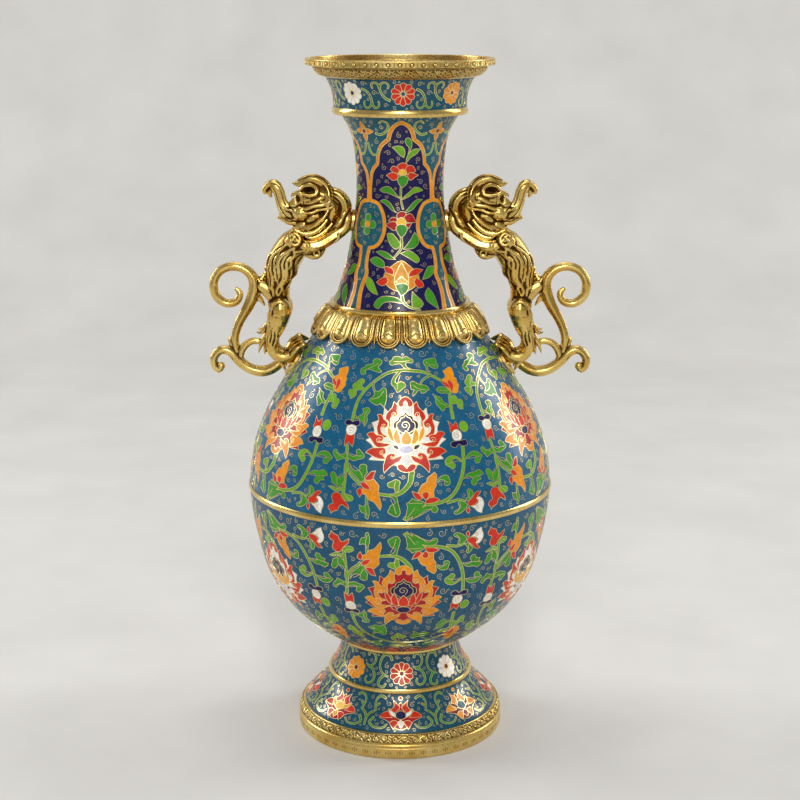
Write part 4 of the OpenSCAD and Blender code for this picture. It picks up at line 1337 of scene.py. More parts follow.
def near(value, place, width):
    """1 where the value is at the place, falling away to 0 over about twice the width."""
    return np.exp(-(((value - place) / width) ** 2))


def ramp(value, start, end):
    """0 up to the start, rising smoothly to 1 at the end."""
    share = np.clip((value - start) / (end - start), 0, 1)
    return share * share * (3 - 2 * share)


def mark(mesh, recess):
    """Stores how deep in a recess each point lies, from 0 to 1, for the gilding's brown grime and painted
    shade.
    """
    layer = mesh.attributes.new("recess", "FLOAT", "POINT")
    layer.data.foreach_set("value", np.asarray(recess, np.float32))


def turned_ring(node, angle, radius, height, recess):
    """The gilt piece that stands for a CAD ring. Its angles, radii, heights and recess values are
    grids[column, row], and it closes on itself both ways."""
    points = np.stack((radius * np.sin(angle), -radius * np.cos(angle), height), -1) * MM
    columns, rows = radius.shape
    here = np.arange(columns * rows).reshape(columns, rows)
    right = np.roll(here, -1, axis=0)
    below = np.roll(here, -1, axis=1)
    corner = np.roll(right, -1, axis=1)
    faces = np.stack((here, below, corner, right), -1).reshape(-1, 4)
    piece = make_mesh(node + "_gilt", points.reshape(-1, 3), faces.tolist())
    mark(piece.data, recess.reshape(-1))
    finish_piece(piece, chased_material, [node])


def relief_ring(node, outer, back, repeats, relief, step):
    """A turned ring. outer is its visible section as (radius, height) from the top down, which
    relief(u, v) raises; back closes the section. u runs round the ring within one repeat."""
    line = even_steps(outer, step)
    out = sides_of(line)
    along = lengths_along(line)
    reach = float(line[:, 0].max())
    pitch = 2 * math.pi * reach / repeats
    columns = int(round(pitch / step))
    u = (np.arange(columns) + 0.5) / columns * pitch - pitch / 2
    grid_u, grid_v = np.meshgrid(u, along, indexing="ij")
    # relief also gives each point's recess value, which the gilding paints as brown grime and painted shade;
    # the hidden back counts as fully in recess.
    rise, recess = relief(grid_u, grid_v, pitch, along[-1])
    radius = line[None, :, 0] + rise * out[None, :, 0]
    height = line[None, :, 1] + rise * out[None, :, 1]
    back = np.array(back, float)
    radius = np.concatenate((radius, np.tile(back[:, 0], (columns, 1))), 1)
    height = np.concatenate((height, np.tile(back[:, 1], (columns, 1))), 1)
    recess = np.concatenate((recess, np.ones((columns, len(back)))), 1)
    angle = np.concatenate([u / reach + 2 * math.pi * i / repeats for i in range(repeats)])
    radius, height, recess = (np.tile(grid, (repeats, 1)) for grid in (radius, height, recess))
    turned_ring(node, angle[:, None], radius, height, recess)


CHASED_STEP = 0.6       # spacing of the points along a chased line
CHASED_HALF = 0.46      # half of its width
CHASED_RISE = 0.45      # how far it rises above its ground
CHASED_SINK = 0.25      # how far the ground is sunk
# Leaves of the chased scroll, as shares of a repeat's width and height. Each comes twice, the
# second time turned half round.
CHASED_LEAVES = [
    [(-0.5, 0.16), (-0.4, 0.3), (-0.3, 0.12)],
    [(-0.12, 0.1), (-0.04, 0.3), (0.05, 0.12)],
    [(-0.5, 0.5), (-0.44, 0.62), (-0.47, 0.9)],
]


def scroll_lines(pitch, height):
    """Chased scroll for one repeat of a band: a slanting stem with a curl on each side of it, and
    small leaves in the corners. v runs down from the band's top."""
    size = height * 0.30
    left, right = (-pitch * 0.25, height * 0.60), (pitch * 0.25, height * 0.40)
    stem = [(left[0] + size * 0.5, left[1] + size * 0.86), (0, height * 0.5),
            (right[0] - size * 0.5, right[1] - size * 0.86)]
    lines = [spiral(left, size, 1.3, 60, -1, 0.3), spiral(right, size, 1.3, 240, -1, 0.3),
             smooth_line(stem, False, CHASED_STEP)]
    for leaf in CHASED_LEAVES:
        for turn in (1, -1):
            line = [(turn * u * pitch, (0.5 + turn * (v - 0.5)) * height) for u, v in leaf]
            lines.append(smooth_line(line, False, CHASED_STEP))
    return lines


def chased_scroll(start, end):
    """Relief for a band of scrollwork between two distances down the section."""

    def relief(u, v, pitch, length):
        lines = [[(x, y + start) for x, y in line] for line in scroll_lines(pitch, end - start)]
        inside = ramp(v, start - 0.3, start) * (1 - ramp(v, end, end + 0.3))
        raised = ridge(distance_to(u, v, lines), CHASED_HALF)
        # The sunk ground between the raised lines is marked as recess, for painted shade and grime.
        return inside * (raised * CHASED_RISE - CHASED_SINK), inside * (1 - raised) * 0.55

    return relief


def rim_relief(face_top, face_bottom):
    """A row of punched bosses on the rim's upright face, under a plain lip."""

    def relief(u, v, pitch, length):
        middle = (face_top + face_bottom) / 2
        distance = np.hypot(u, v - middle)
        boss = ridge(distance, 1.35)
        ring = near(distance, 1.55, 0.34)
        band = ramp(v, face_top, face_top + 0.3) * (1 - ramp(v, face_bottom - 0.3, face_bottom))
        tick = near(np.abs(u), pitch / 2, 0.3) * band
        # The groove round each boss and the ticks are marked as recess, for painted shade and grime.
        return boss * 0.5 - ring * 0.35 - band * 0.2 - tick * 0.25, ring * 0.9 + tick * 0.6

    return relief


def tick_relief(face_top, face_bottom):
    """Groups of three upright notches, the middle one longer, punched in the foot's lowest band."""

    def relief(u, v, pitch, length):
        middle, half = (face_top + face_bottom) / 2, (face_bottom - face_top) / 2
        notch = np.zeros_like(u)
        for place, reach in ((-1.9, 0.55), (0, 1), (1.9, 0.55)):
            part = np.clip(1 - np.abs(v - middle) / (half * reach), 0, 1)
            notch += near(u, place, 0.42) * ramp(part, 0, 0.35)
        # The notches are marked as recess, for painted shade and grime.
        return -notch * 0.4, notch * 0.6

    return relief


# Mouth rim: the section comes from the CAD's heights and radii
rim_low, rim_high = node_heights("mouth_rim")
rim_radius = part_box("mouth_rim")[1][0] / MM
rim_bore = rim_radius - 3.5
rim_outer = [(rim_bore, rim_low + 0.2), (rim_bore, rim_high - 0.2), (rim_bore + 0.4, rim_high),
             (rim_radius - 0.5, rim_high), (rim_radius - 0.1, rim_high - 0.4),
             (rim_radius - 0.1, rim_low + 0.4), (rim_radius - 0.5, rim_low)]
rim_face = 8.7          # where the rim's upright face starts, down its section from the bore
relief_ring("mouth_rim", rim_outer, [(67, rim_low), (67, rim_low + 0.2)], 52,
            rim_relief(rim_face, rim_face + 4.4), 0.4)

# Mouth band: a cavetto of chased scrollwork under the rim
band_low, band_high = node_heights("mouth_band")
band_outer = [(68.8, band_high), (69.4, band_high - 1), (69.1, band_high - 2.6),
              (67.7, band_low + 4.4), (65.1, band_low + 2), (62, band_low + 0.5), (60.6, band_low)]
band_back = [(56.5, band_low), (63.6, band_low + 3.4), (66.2, band_low + 6.4), (67, band_high)]
relief_ring("mouth_band", band_outer, band_back, 30, chased_scroll(1.4, 11.2), 0.36)

# Foot band and foot rim
foot_low, foot_high = node_heights("foot_band")
foot_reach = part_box("foot_rim")[1][0] / MM
foot_outer = [(79, foot_high), (82.8, foot_high), (84, foot_high - 1), (85.3, foot_high - 4),
              (86.1, foot_high - 7.4), (85.9, foot_low)]
relief_ring("foot_band", foot_outer, [(78.4, foot_low), (78.4, foot_low + 5)], 32,
            chased_scroll(4.4, 12.0), 0.4)
rim_top = node_heights("foot_rim")[1]
foot_rim_outer = [(80, rim_top), (foot_reach - 0.9, rim_top), (foot_reach - 0.3, 11.6),
                  (foot_reach - 0.25, 10.4), (foot_reach - 0.9, 9.4), (foot_reach - 0.4, 8.4),
                  (foot_reach - 0.25, 4), (foot_reach - 0.5, 1), (foot_reach - 1.4, 0)]
relief_ring("foot_rim", foot_rim_outer, [(78, 0), (78, 4.9), (78, 7.1), (78, 12)], 56,
            tick_relief(11.6, 16.4), 0.45)

# ---- petal collar -------------------------------------------------------------------------------

PETALS = 20
PETAL_COLUMNS = 54      # points across a petal
PETAL_ROWS = 66         # points down it
PETAL_TURN = 1.3        # degrees from the front to the gap between two petals
PETAL_ROOT = 52.5       # radius at which the collar's back meets the neck
PETAL_CURLS = [(-2.5, 9.6, 1.7), (2.5, 9.6, 1.7), (0, 7.4, 1.5)]    # across, up from its end, radius


def petal_collar():
    """Lotus petals standing on the shoulder. Each has two raised rims round a swelling tongue that
    ends in small curls, and a ribbed leaf shows between two petals."""
    low, high = node_heights("petal_collar")
    slope = np.array(smooth_line([(58.0, high), (62.0, high - 3.2), (66.0, high - 8.6),
                                  (69.2, high - 15), (72.2, low)], False, 0.5))
    along = lengths_along(slope)
    out = sides_of(slope)
    length = float(along[-1])
    half_turn = math.pi / PETALS
    share_u = (np.arange(PETAL_COLUMNS) + 0.5) / PETAL_COLUMNS * 2 - 1
    share_v = np.linspace(0, 1, PETAL_ROWS)
    half_low = half_turn * float(slope[-1, 0])
    arch = half_low * 0.9
    edge_x = np.abs(share_u) * half_low
    round_end = length - arch + np.sqrt(np.clip(arch ** 2 - edge_x ** 2, 0, None))
    leaf_end = length - 3.4 - 2.4 * (half_low - edge_x)
    edge = np.maximum(round_end, leaf_end)
    v = share_v[None, :] * edge[:, None]
    radius = np.interp(v, along, slope[:, 0])
    height = np.interp(v, along, slope[:, 1])
    out_r = np.interp(v, along, out[:, 0])
    out_z = np.interp(v, along, out[:, 1])
    half_here = half_turn * radius
    x = share_u[:, None] * half_here
    width = half_here * 0.9
    centre = length - arch
    beyond = np.clip(v - centre, 0, None)
    inset = np.where(v < centre, width - np.abs(x), arch - np.hypot(x * arch / width, beyond))
    swell = ramp(v, length * 0.45, length)
    outer_rim = ridge(inset - 0.95, 0.95) * (1.3 + 0.9 * swell)
    inner_rim = ridge(inset - 2.75, 0.75) * (1.0 + 0.5 * swell)
    tongue_half = np.clip(width - 4.0, 0.5, None)
    tongue_end = length - 5.9
    tongue = ridge(x / tongue_half, 1.0) * (1 - ramp(v, tongue_end - 2.5, tongue_end + 1.0))
    tongue_rise = tongue * (1.5 + 1.5 * ramp(v, 3, tongue_end - 4))
    crease = near(v - np.abs(x) * 0.5, length * 0.56, 0.4) * tongue
    curls = np.zeros_like(x)
    for place_x, place_v, size in PETAL_CURLS:
        curls = np.maximum(curls, ridge(np.hypot(x - place_x, v - length + place_v), size) * 1.1)
    dimple = np.zeros_like(x)
    for place_x in (-2.5, 2.5):
        dimple += near(np.hypot(x - place_x, v - length + 9.4), 0, 0.5)
    groove = near(inset, 1.85, 0.32) + near(inset, 3.75, 0.42)
    gap = ramp(-inset, -0.1, 0.5)
    ribs = 0.5 + 0.5 * np.cos((half_here - np.abs(x)) * 2 * math.pi / 1.25)
    rise = np.maximum(np.maximum(outer_rim, inner_rim), np.maximum(tongue_rise, tongue * 2.2 + curls))
    rise = rise - crease * 0.5 - dimple * 0.7 - groove * 0.35
    rise = rise * (1 - gap) + gap * (ribs * 0.7 - 0.7)
    rise *= 0.35 + 0.65 * ramp(v, 0, 3)
    # Painted shade with grime: the grooves, the gaps between petals, the crease, the dimples and the low
    # ground are marked as recess, which the gilding darkens to brown.
    recess = np.clip(groove * 0.9 + gap * (1 - ribs) * 1.0 + crease * 0.8 + dimple * 0.9, 0, 1)
    recess = np.maximum(recess, 0.55 * ramp(0.4 - rise, 0, 0.5) * (1 - gap))
    radius = radius + rise * out_r
    height = height + rise * out_z
    tuck_r = radius[:, -1:] - 1.4
    tuck_z = height[:, -1:] - 0.3
    shoulder = np.interp(height[:, -1:], upper_face.height, upper_face.radius)
    root_r = np.minimum(shoulder - 0.6, tuck_r - 0.2)
    top_r = np.full_like(root_r, PETAL_ROOT)
    radius = np.concatenate((radius, tuck_r, root_r, top_r), 1)
    height = np.concatenate((height, tuck_z, height[:, -1:] + 0.4, np.full_like(top_r, high)), 1)
    # The tuck under the petal ends is half in recess and the back fully, for the same painted shade and
    # grime.
    recess = np.concatenate((recess, np.ones_like(tuck_r) * 0.5, np.ones((len(tuck_r), 2))), 1)
    turns = (np.arange(PETALS) + 0.5) * 2 * half_turn
    angle = np.concatenate([share_u * half_turn + turn for turn in turns]) + math.radians(PETAL_TURN)
    radius, height, recess = (np.tile(grid, (PETALS, 1)) for grid in (radius, height, recess))
    turned_ring("petal_collar", angle[:, None], radius, height, recess)


petal_collar()

# ---- beasts on the handles ----------------------------------------------------------------------
# Each beast is modelled on the left side of the vase, in millimetres, as swept strands and balls
# added to the CAD's limbs. They are then fused, smoothed and mirrored. A strand is a list of
# (x, z, radius) laid on the limb it crosses, or of (x, y, z, radius) where it stands free.

TUBE_SIDES = 10
SMOOTHING = 0.6         # share of the way that a point moves to its neighbours' middle
SWELLING = 0.62         # share that it moves back, so that the casting keeps its volume
HOLLOW_ROUNDS = (5, 16, 39)     # rounds of heavy smoothing after which the hollows are measured


def flowing(points, pieces=5):
    """Points of any width joined by a smooth curve."""
    points = np.array(points, float)
    ends = np.concatenate((points[:1] * 2 - points[1:2], points, points[-1:] * 2 - points[-2:-1]))
    line = []
    for i in range(1, len(ends) - 2):
        a, b, c, d = ends[i - 1:i + 3]
        for t in np.arange(pieces) / pieces:
            line.append(0.5 * (2 * b + (c - a) * t + (2 * a - 5 * b + 4 * c - d) * t * t
                               + (3 * b - a - 3 * c + d) * t ** 3))
    line.append(ends[-2])
    return np.array(line)


def sweep(points, wide=1.0):
    """A closed tube along (x, y, z, radius) points, wider by the given factor across the beast."""
    line = flowing(points)
    radius = np.clip(line[:, 3], 0.25, None)
    run = unit_rows(np.gradient(line[:, :3], axis=0))
    across = unit_rows(np.cross(run, (0.0, 1.0, 0.0)))
    over = np.cross(run, across)
    turn = np.arange(TUBE_SIDES) / TUBE_SIDES * 2 * math.pi
    rings = line[:, None, :3] + radius[:, None, None] * (
        np.cos(turn)[None, :, None] * across[:, None] + wide * np.sin(turn)[None, :, None] * over[:, None]
    )
    return rings.reshape(-1, 3).tolist(), tube_faces(0, len(line), TUBE_SIDES)


def ball(centre, radii):
    """An ellipsoid."""
    rows, columns = 7, 12
    points = [(centre[0], centre[1], centre[2] + radii[2])]
    for i in range(1, rows):
        angle = math.pi * i / rows
        for k in range(columns):
            turn = 2 * math.pi * k / columns
            points.append((centre[0] + radii[0] * math.sin(angle) * math.cos(turn),
                           centre[1] + radii[1] * math.sin(angle) * math.sin(turn),
                           centre[2] + radii[2] * math.cos(angle)))
    points.append((centre[0], centre[1], centre[2] - radii[2]))
    faces = []
    for k in range(columns):
        after = (k + 1) % columns
        faces.append((0, 1 + k, 1 + after))
        for i in range(rows - 2):
            a = 1 + i * columns
            faces.append((a + k, a + columns + k, a + columns + after, a + after))
        a = 1 + (rows - 2) * columns
        faces.append((a + k, len(points) - 1, a + after))
    return points, faces


def beside(line, shift, radius, phase=0.0, wave=0.0, waves=1.0, start=0.0, end=1.0):
    """A strand that follows a line of (x, z, radius) at a share of its radius to one side."""
    line = flowing(line, 4)
    side = sides_of(line[:, :2])
    share = np.linspace(0, 1, len(line))
    offset = shift + wave * np.sin(2 * math.pi * (waves * share + phase))
    taper = radius * np.clip(np.minimum(share - start, end - share) * 7, 0.3, 1)
    reach = (offset * line[:, 2])[:, None]
    strand = np.hstack((line[:, :2] + side * reach, taper[:, None]))
    return strand[(share >= start) & (share <= end)][::2].tolist()


def whorl(centre, size, turns, start, hand, radius, tip):
    """A spiral strand that gets thinner towards its middle."""
    line = spiral(centre, size, turns, start, hand)[::2]
    fade = np.linspace(radius, tip, len(line))
    return [(x, z, r) for (x, z), r in zip(line, fade)]


class Beast:
    """One group of the beast's limbs, with the strands that lie on them."""

    def __init__(self, limbs):
        self.limbs = limbs
        self.points, self.faces = [], []
        for limb in limbs:
            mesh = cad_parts["left_" + limb].data
            self.add([tuple(v.co / MM) for v in mesh.vertices], [tuple(p.vertices) for p in mesh.polygons])
        self.measure()

    def add(self, points, faces):
        first = len(self.points)
        self.points += [tuple(point) for point in points]
        self.faces += [tuple(first + i for i in face) for face in faces]

    def measure(self):
        """Takes the shape so far as the one that strands are laid on."""
        self.tree = BVHTree.FromPolygons(self.points, self.faces)

    def side_of(self, x, z):
        """How far the limbs reach to the side at (x, z)."""
        hit = self.tree.ray_cast(Vector((x, -80.0, z)), Vector((0, 1, 0)))
        return -hit[0].y if hit[0] is not None else None

    def balls(self, *shapes):
        """Balls (x, y, z, radius x, radius y, radius z) on both sides."""
        for x, y, z, a, b, c in shapes:
            self.add(*ball((x, y, z), (a, b, c)))
            if y:
                self.add(*ball((x, -y, z), (a, b, c)))

    def free(self, *strands, wide=1.0):
        for strand in strands:
            self.add(*sweep(strand, wide))
            if any(point[1] for point in strand):
                self.add(*sweep([(x, -y, z, r) for x, y, z, r in strand], wide))

    def laid(self, *strands, sunk=0.25):
        """Strands laid on both sides of the limbs."""
        for strand in strands:
            reach = [self.side_of(x, z) for x, z, r in strand]
            known = [i for i, value in enumerate(reach) if value is not None]
            if not known:
                continue
            places = []
            for i, (x, z, r) in enumerate(strand):
                value = reach[min(known, key=lambda k: abs(k - i))]
                places.append((x, value - r * sunk, z, r))
            line = np.array(places)
            line[1:-1, 1] = (line[:-2, 1] + 2 * line[1:-1, 1] + line[2:, 1]) / 4
            self.free([(x, -y, z, r) for x, y, z, r in line.tolist()])

    def cast(self, voxel, rounds, name, dents=()):
        """The fused and smoothed mesh on both sides of the vase, with brown grime and painted shade in its
        hollows and dents. A dent is (x, z, reach along, reach across, lean in radians, depth)."""
        rough = make_mesh(name + "_rough", [(x * MM, y * MM, z * MM) for x, y, z in self.points],
                          self.faces)
        fuse = rough.modifiers.new("fuse", "REMESH")
        fuse.mode = "VOXEL"
        fuse.voxel_size = voxel * MM
        bpy.context.view_layer.update()
        evaluated = rough.evaluated_get(bpy.context.evaluated_depsgraph_get())
        fused = evaluated.to_mesh()
        count = len(fused.vertices)
        places = np.empty(count * 3)
        fused.vertices.foreach_get("co", places)
        places = places.reshape(-1, 3)
        edges = np.empty(len(fused.edges) * 2, np.int64)
        fused.edges.foreach_get("vertices", edges)
        edges = edges.reshape(-1, 2)
        faces = [tuple(polygon.vertices) for polygon in fused.polygons]
        evaluated.to_mesh_clear()
        bpy.data.objects.remove(rough)
        start = np.concatenate((edges[:, 0], edges[:, 1]))
        other = np.concatenate((edges[:, 1], edges[:, 0]))
        degree = np.bincount(start, minlength=count)[:, None]

        def averaged(values):
            total = [np.bincount(start, values[other, k], count) for k in range(values.shape[1])]
            return np.stack(total, 1) / degree

        for i in range(rounds):
            places += SMOOTHING * (averaged(places) - places)
            places -= SWELLING * (averaged(places) - places) * (i % 2)
        mesh = make_mesh(name + "_probe", places, faces)
        normals = np.empty(count * 3)
        mesh.data.vertices.foreach_get("normal", normals)
        normals = normals.reshape(-1, 3)
        bpy.data.objects.remove(mesh)
        # Painted shade with grime: hollow is how far each point lies below ever smoother copies of the mesh,
        # which the gilding darkens to brown.
        soft = places.copy()
        hollow = np.zeros(count)
        for i in range(HOLLOW_ROUNDS[-1] + 1):
            soft += 0.7 * (averaged(soft) - soft)
            if i in HOLLOW_ROUNDS:
                depth = ((soft - places) * normals).sum(1) / MM
                hollow = np.maximum(hollow, np.clip((depth - 0.01) / (0.035 + 0.005 * i), 0, 1))
        # Dents are pressed in and fully darkened as painted shade.
        for x, z, reach_x, reach_z, lean, depth in dents:
            right, high = places[:, 0] / MM - x, places[:, 2] / MM - z
            along = right * math.cos(lean) + high * math.sin(lean)
            up = high * math.cos(lean) - right * math.sin(lean)
            share = np.clip(1.4 - 1.4 * np.hypot(along / reach_x, up / reach_z), 0, 1)
            share *= np.abs(places[:, 1]) > 2 * MM
            places[:, 1] -= np.sign(places[:, 1]) * share * depth * MM
            hollow = np.maximum(hollow, share)
        for side, turn in (("left", 1), ("right", -1)):
            ordered = faces if turn == 1 else [face[::-1] for face in faces]
            piece = make_mesh(side + "_" + name, places * (turn, 1, 1), ordered)
            mark(piece.data, hollow)
            finish_piece(piece, cast_material, [side + "_" + limb for limb in self.limbs])


def beast_head():
    head = Beast(["beast_head", "beast_trunk", "beast_mane"])
    # Skull, cheek, muzzle and lower jaw
    head.balls((-79.5, 6.4, 437.6, 7.6, 6.6, 6), (-72, 5, 450, 9, 8, 8), (-84, 3.4, 444.6, 5.4, 5, 4.6),
               (-69.6, 3.4, 433.6, 9, 7, 8.4), (-77.4, 3, 426.4, 8, 6.4, 6),
               (-70, 4, 424, 8, 6, 5.4), (-60.6, 2.6, 430.4, 6.6, 6, 6))
    head.free([(-99, 2.2, 433.6, 0.9), (-95, 2.8, 432.4, 1.7), (-89, 3.4, 429.8, 2.3),
               (-82, 3.6, 429.2, 2.6), (-76, 3.6, 431, 2.4)])
    # Crest sweeping forward to a point
    for y, r in ((0, 4.6), (4.4, 3.6)):
        head.free([(-86.6, y * 0.4, 461.6, 0.6), (-82.5, y * 0.6, 460.2, 1.8),
                   (-77.5, y * 0.9, 461.2, r * 0.75), (-70.5, y, 463.2, r),
                   (-63, y, 460.6, r), (-58.4, y, 453.4, r * 0.9), (-57.6, y, 446, r * 0.6)])
    # Trunk's flared tip, curled outwards
    head.free([(-80, 0, 436.4, 7.6), (-87.6, 0, 436.8, 6.6), (-92.6, 0, 440.4, 5.4), (-95.6, 0, 446.6, 4.6),
               (-97, 0, 452.6, 4.6), (-99, 0, 457, 4.6), (-103, 0, 460, 3.6),
               (-106.8, 0, 458.8, 2.6), (-109.2, 0, 455.2, 1.9), (-107.8, 0, 452.4, 1.6)], wide=1.1)
    head.free([(-94.8, 2, 455.4, 1.0), (-96.4, 2.4, 459.2, 1.4), (-100.4, 2.4, 462.6, 1.1),
               (-104.6, 1.6, 463.2, 0.6)])
    head.measure()
    # Raised edges and creases along the trunk
    trunk_line = [(-81, 436.4, 7.6), (-87.6, 436.8, 6.6), (-92.6, 440.4, 5.4), (-95.6, 446.6, 4.6),
                  (-97, 452.6, 4.6), (-99.4, 457.4, 4.4), (-103.4, 460, 3.2), (-107.4, 457.8, 2)]
    for shift in (-0.72, 0.72):
        head.laid(beside(trunk_line, shift, 1.15), sunk=-0.1)
    # Eye under its brow, and the nose's wrinkles
    head.laid([(-87.6, 450.4, 0.7), (-85.4, 452.6, 1.5), (-81.6, 453, 1.7), (-78.2, 451, 1.4),
               (-77, 448, 0.7)], sunk=-0.2)
    head.laid([(-88.4, 446.2, 0.5), (-85, 444.8, 0.9), (-81.2, 445.6, 0.8), (-79.4, 447.6, 0.5)], sunk=0)
    eye_side = head.side_of(-84.4, 448.8) or 6
    head.balls((-84.4, eye_side + 0.1, 448.9, 1.7, 1.5, 1.6))
    head.laid([(-92.6, 443, 0.5), (-89.4, 442.4, 0.9), (-86, 440.6, 0.6)], sunk=0.1)
    head.laid([(-92, 440.6, 0.5), (-88.4, 440, 0.9), (-84.6, 438.4, 0.6)], sunk=0.1)
    # Mouth line curling up round the cheek
    head.laid([(-98, 436.4, 0.6), (-92.6, 433.8, 0.9), (-86, 432.4, 1.1), (-82.6, 433.6, 1.0),
               (-82.4, 436, 0.7)], sunk=0)
    # Ear: an almond rim round a hollow
    head.laid([(-81, 455.4, 0.9), (-77, 459, 1.5), (-71.6, 460.2, 1.8), (-66.8, 457.6, 1.7),
               (-66.6, 453.8, 1.5), (-71.6, 452.2, 1.4), (-77, 453.2, 1.1), (-81, 455.4, 0.9)], sunk=-0.8)
    # Hair lines on the crest
    crest_line = [(-83.6, 461, 2), (-77, 462.6, 4), (-70, 464, 4.4), (-62.6, 461, 4.6),
                  (-58, 453.6, 4.4), (-57.6, 445, 3.4)]
    for shift in (0.3, 0.8):
        head.laid(beside(crest_line, shift, 0.95), sunk=-0.05)
    # Whiskers from the cheek
    for strand in (
        [(-82, 442.6, 0.8), (-76, 441.4, 1.5), (-69, 443.6, 1.6), (-62, 444.4, 1.4), (-55, 447.4, 0.6)],
        [(-76.6, 445.6, 0.8), (-71, 446.8, 1.5), (-65, 449.4, 1.5), (-60.4, 450.8, 1.1)],
        [(-77, 438.4, 0.8), (-71, 438.2, 1.5), (-65, 440.6, 1.6), (-58.4, 441.4, 1.2), (-53.6, 443, 0.6)],
    ):
        head.laid(strand, sunk=-0.1)
    head.laid(whorl((-73.6, 441.6), 2.3, 1.1, 200, 1, 0.9, 0.5), sunk=-0.3)
    # Beard flowing down to the shoulder
    for i in range(7):
        drift = i / 6
        side = 11.4 - 1.1 * i
        head.free([(-57 - 4 * drift, side * 0.8, 441.4 - 1.4 * i, 1.0),
                   (-60.4 - 4.6 * drift, side, 435.4 - 1.0 * i, 1.6),
                   (-66.6 - 5.4 * drift, side * 1.06, 429.8 - 0.2 * i, 1.8),
                   (-72 - 7 * drift, side, 426.4 + 0.2 * i, 1.5),
                   (-76 - 10 * drift, side * 0.9, 422.8 + 0.5 * i, 0.7)], wide=1.3)
    # Two locks that curl forward over the shoulder
    head.free([(-58, 9, 433, 1.2), (-63, 10.4, 427, 2.2), (-69.6, 11.4, 422.4, 2.6),
               (-77, 12.4, 421.6, 2.2), (-84, 12.6, 424.4, 1.6), (-88.4, 12, 422.6, 0.6)],
              [(-54, 8, 430, 1.0), (-60, 9.6, 423.6, 1.9), (-67, 11.4, 419, 2.2),
               (-72.6, 12.4, 418.4, 1.4), (-76.6, 12.6, 420, 0.6)])
    # Ridges round the arch of the mane
    mane_line = [(-58, 455, 4.4), (-50.5, 452.4, 5), (-45, 446.4, 5.2), (-44.4, 438.4, 5.2),
                 (-49, 430.6, 4.6), (-55, 425, 3)]
    for shift in (-0.85, -0.35, 0.2, 0.7):
        head.laid(beside(mane_line, shift, 0.75), sunk=0.15)
    ear = (-73.6, 456.2, 5.6, 2.7, 0.12, 3.2)
    nostril = (-105.6, 456.6, 2.4, 1.1, 0.7, 1.2)
    mouth = (-89.6, 432.9, 6.4, 0.9, -0.28, 1.4)
    head.cast(0.48, 3, "beast_head_cast", [ear, nostril, mouth])


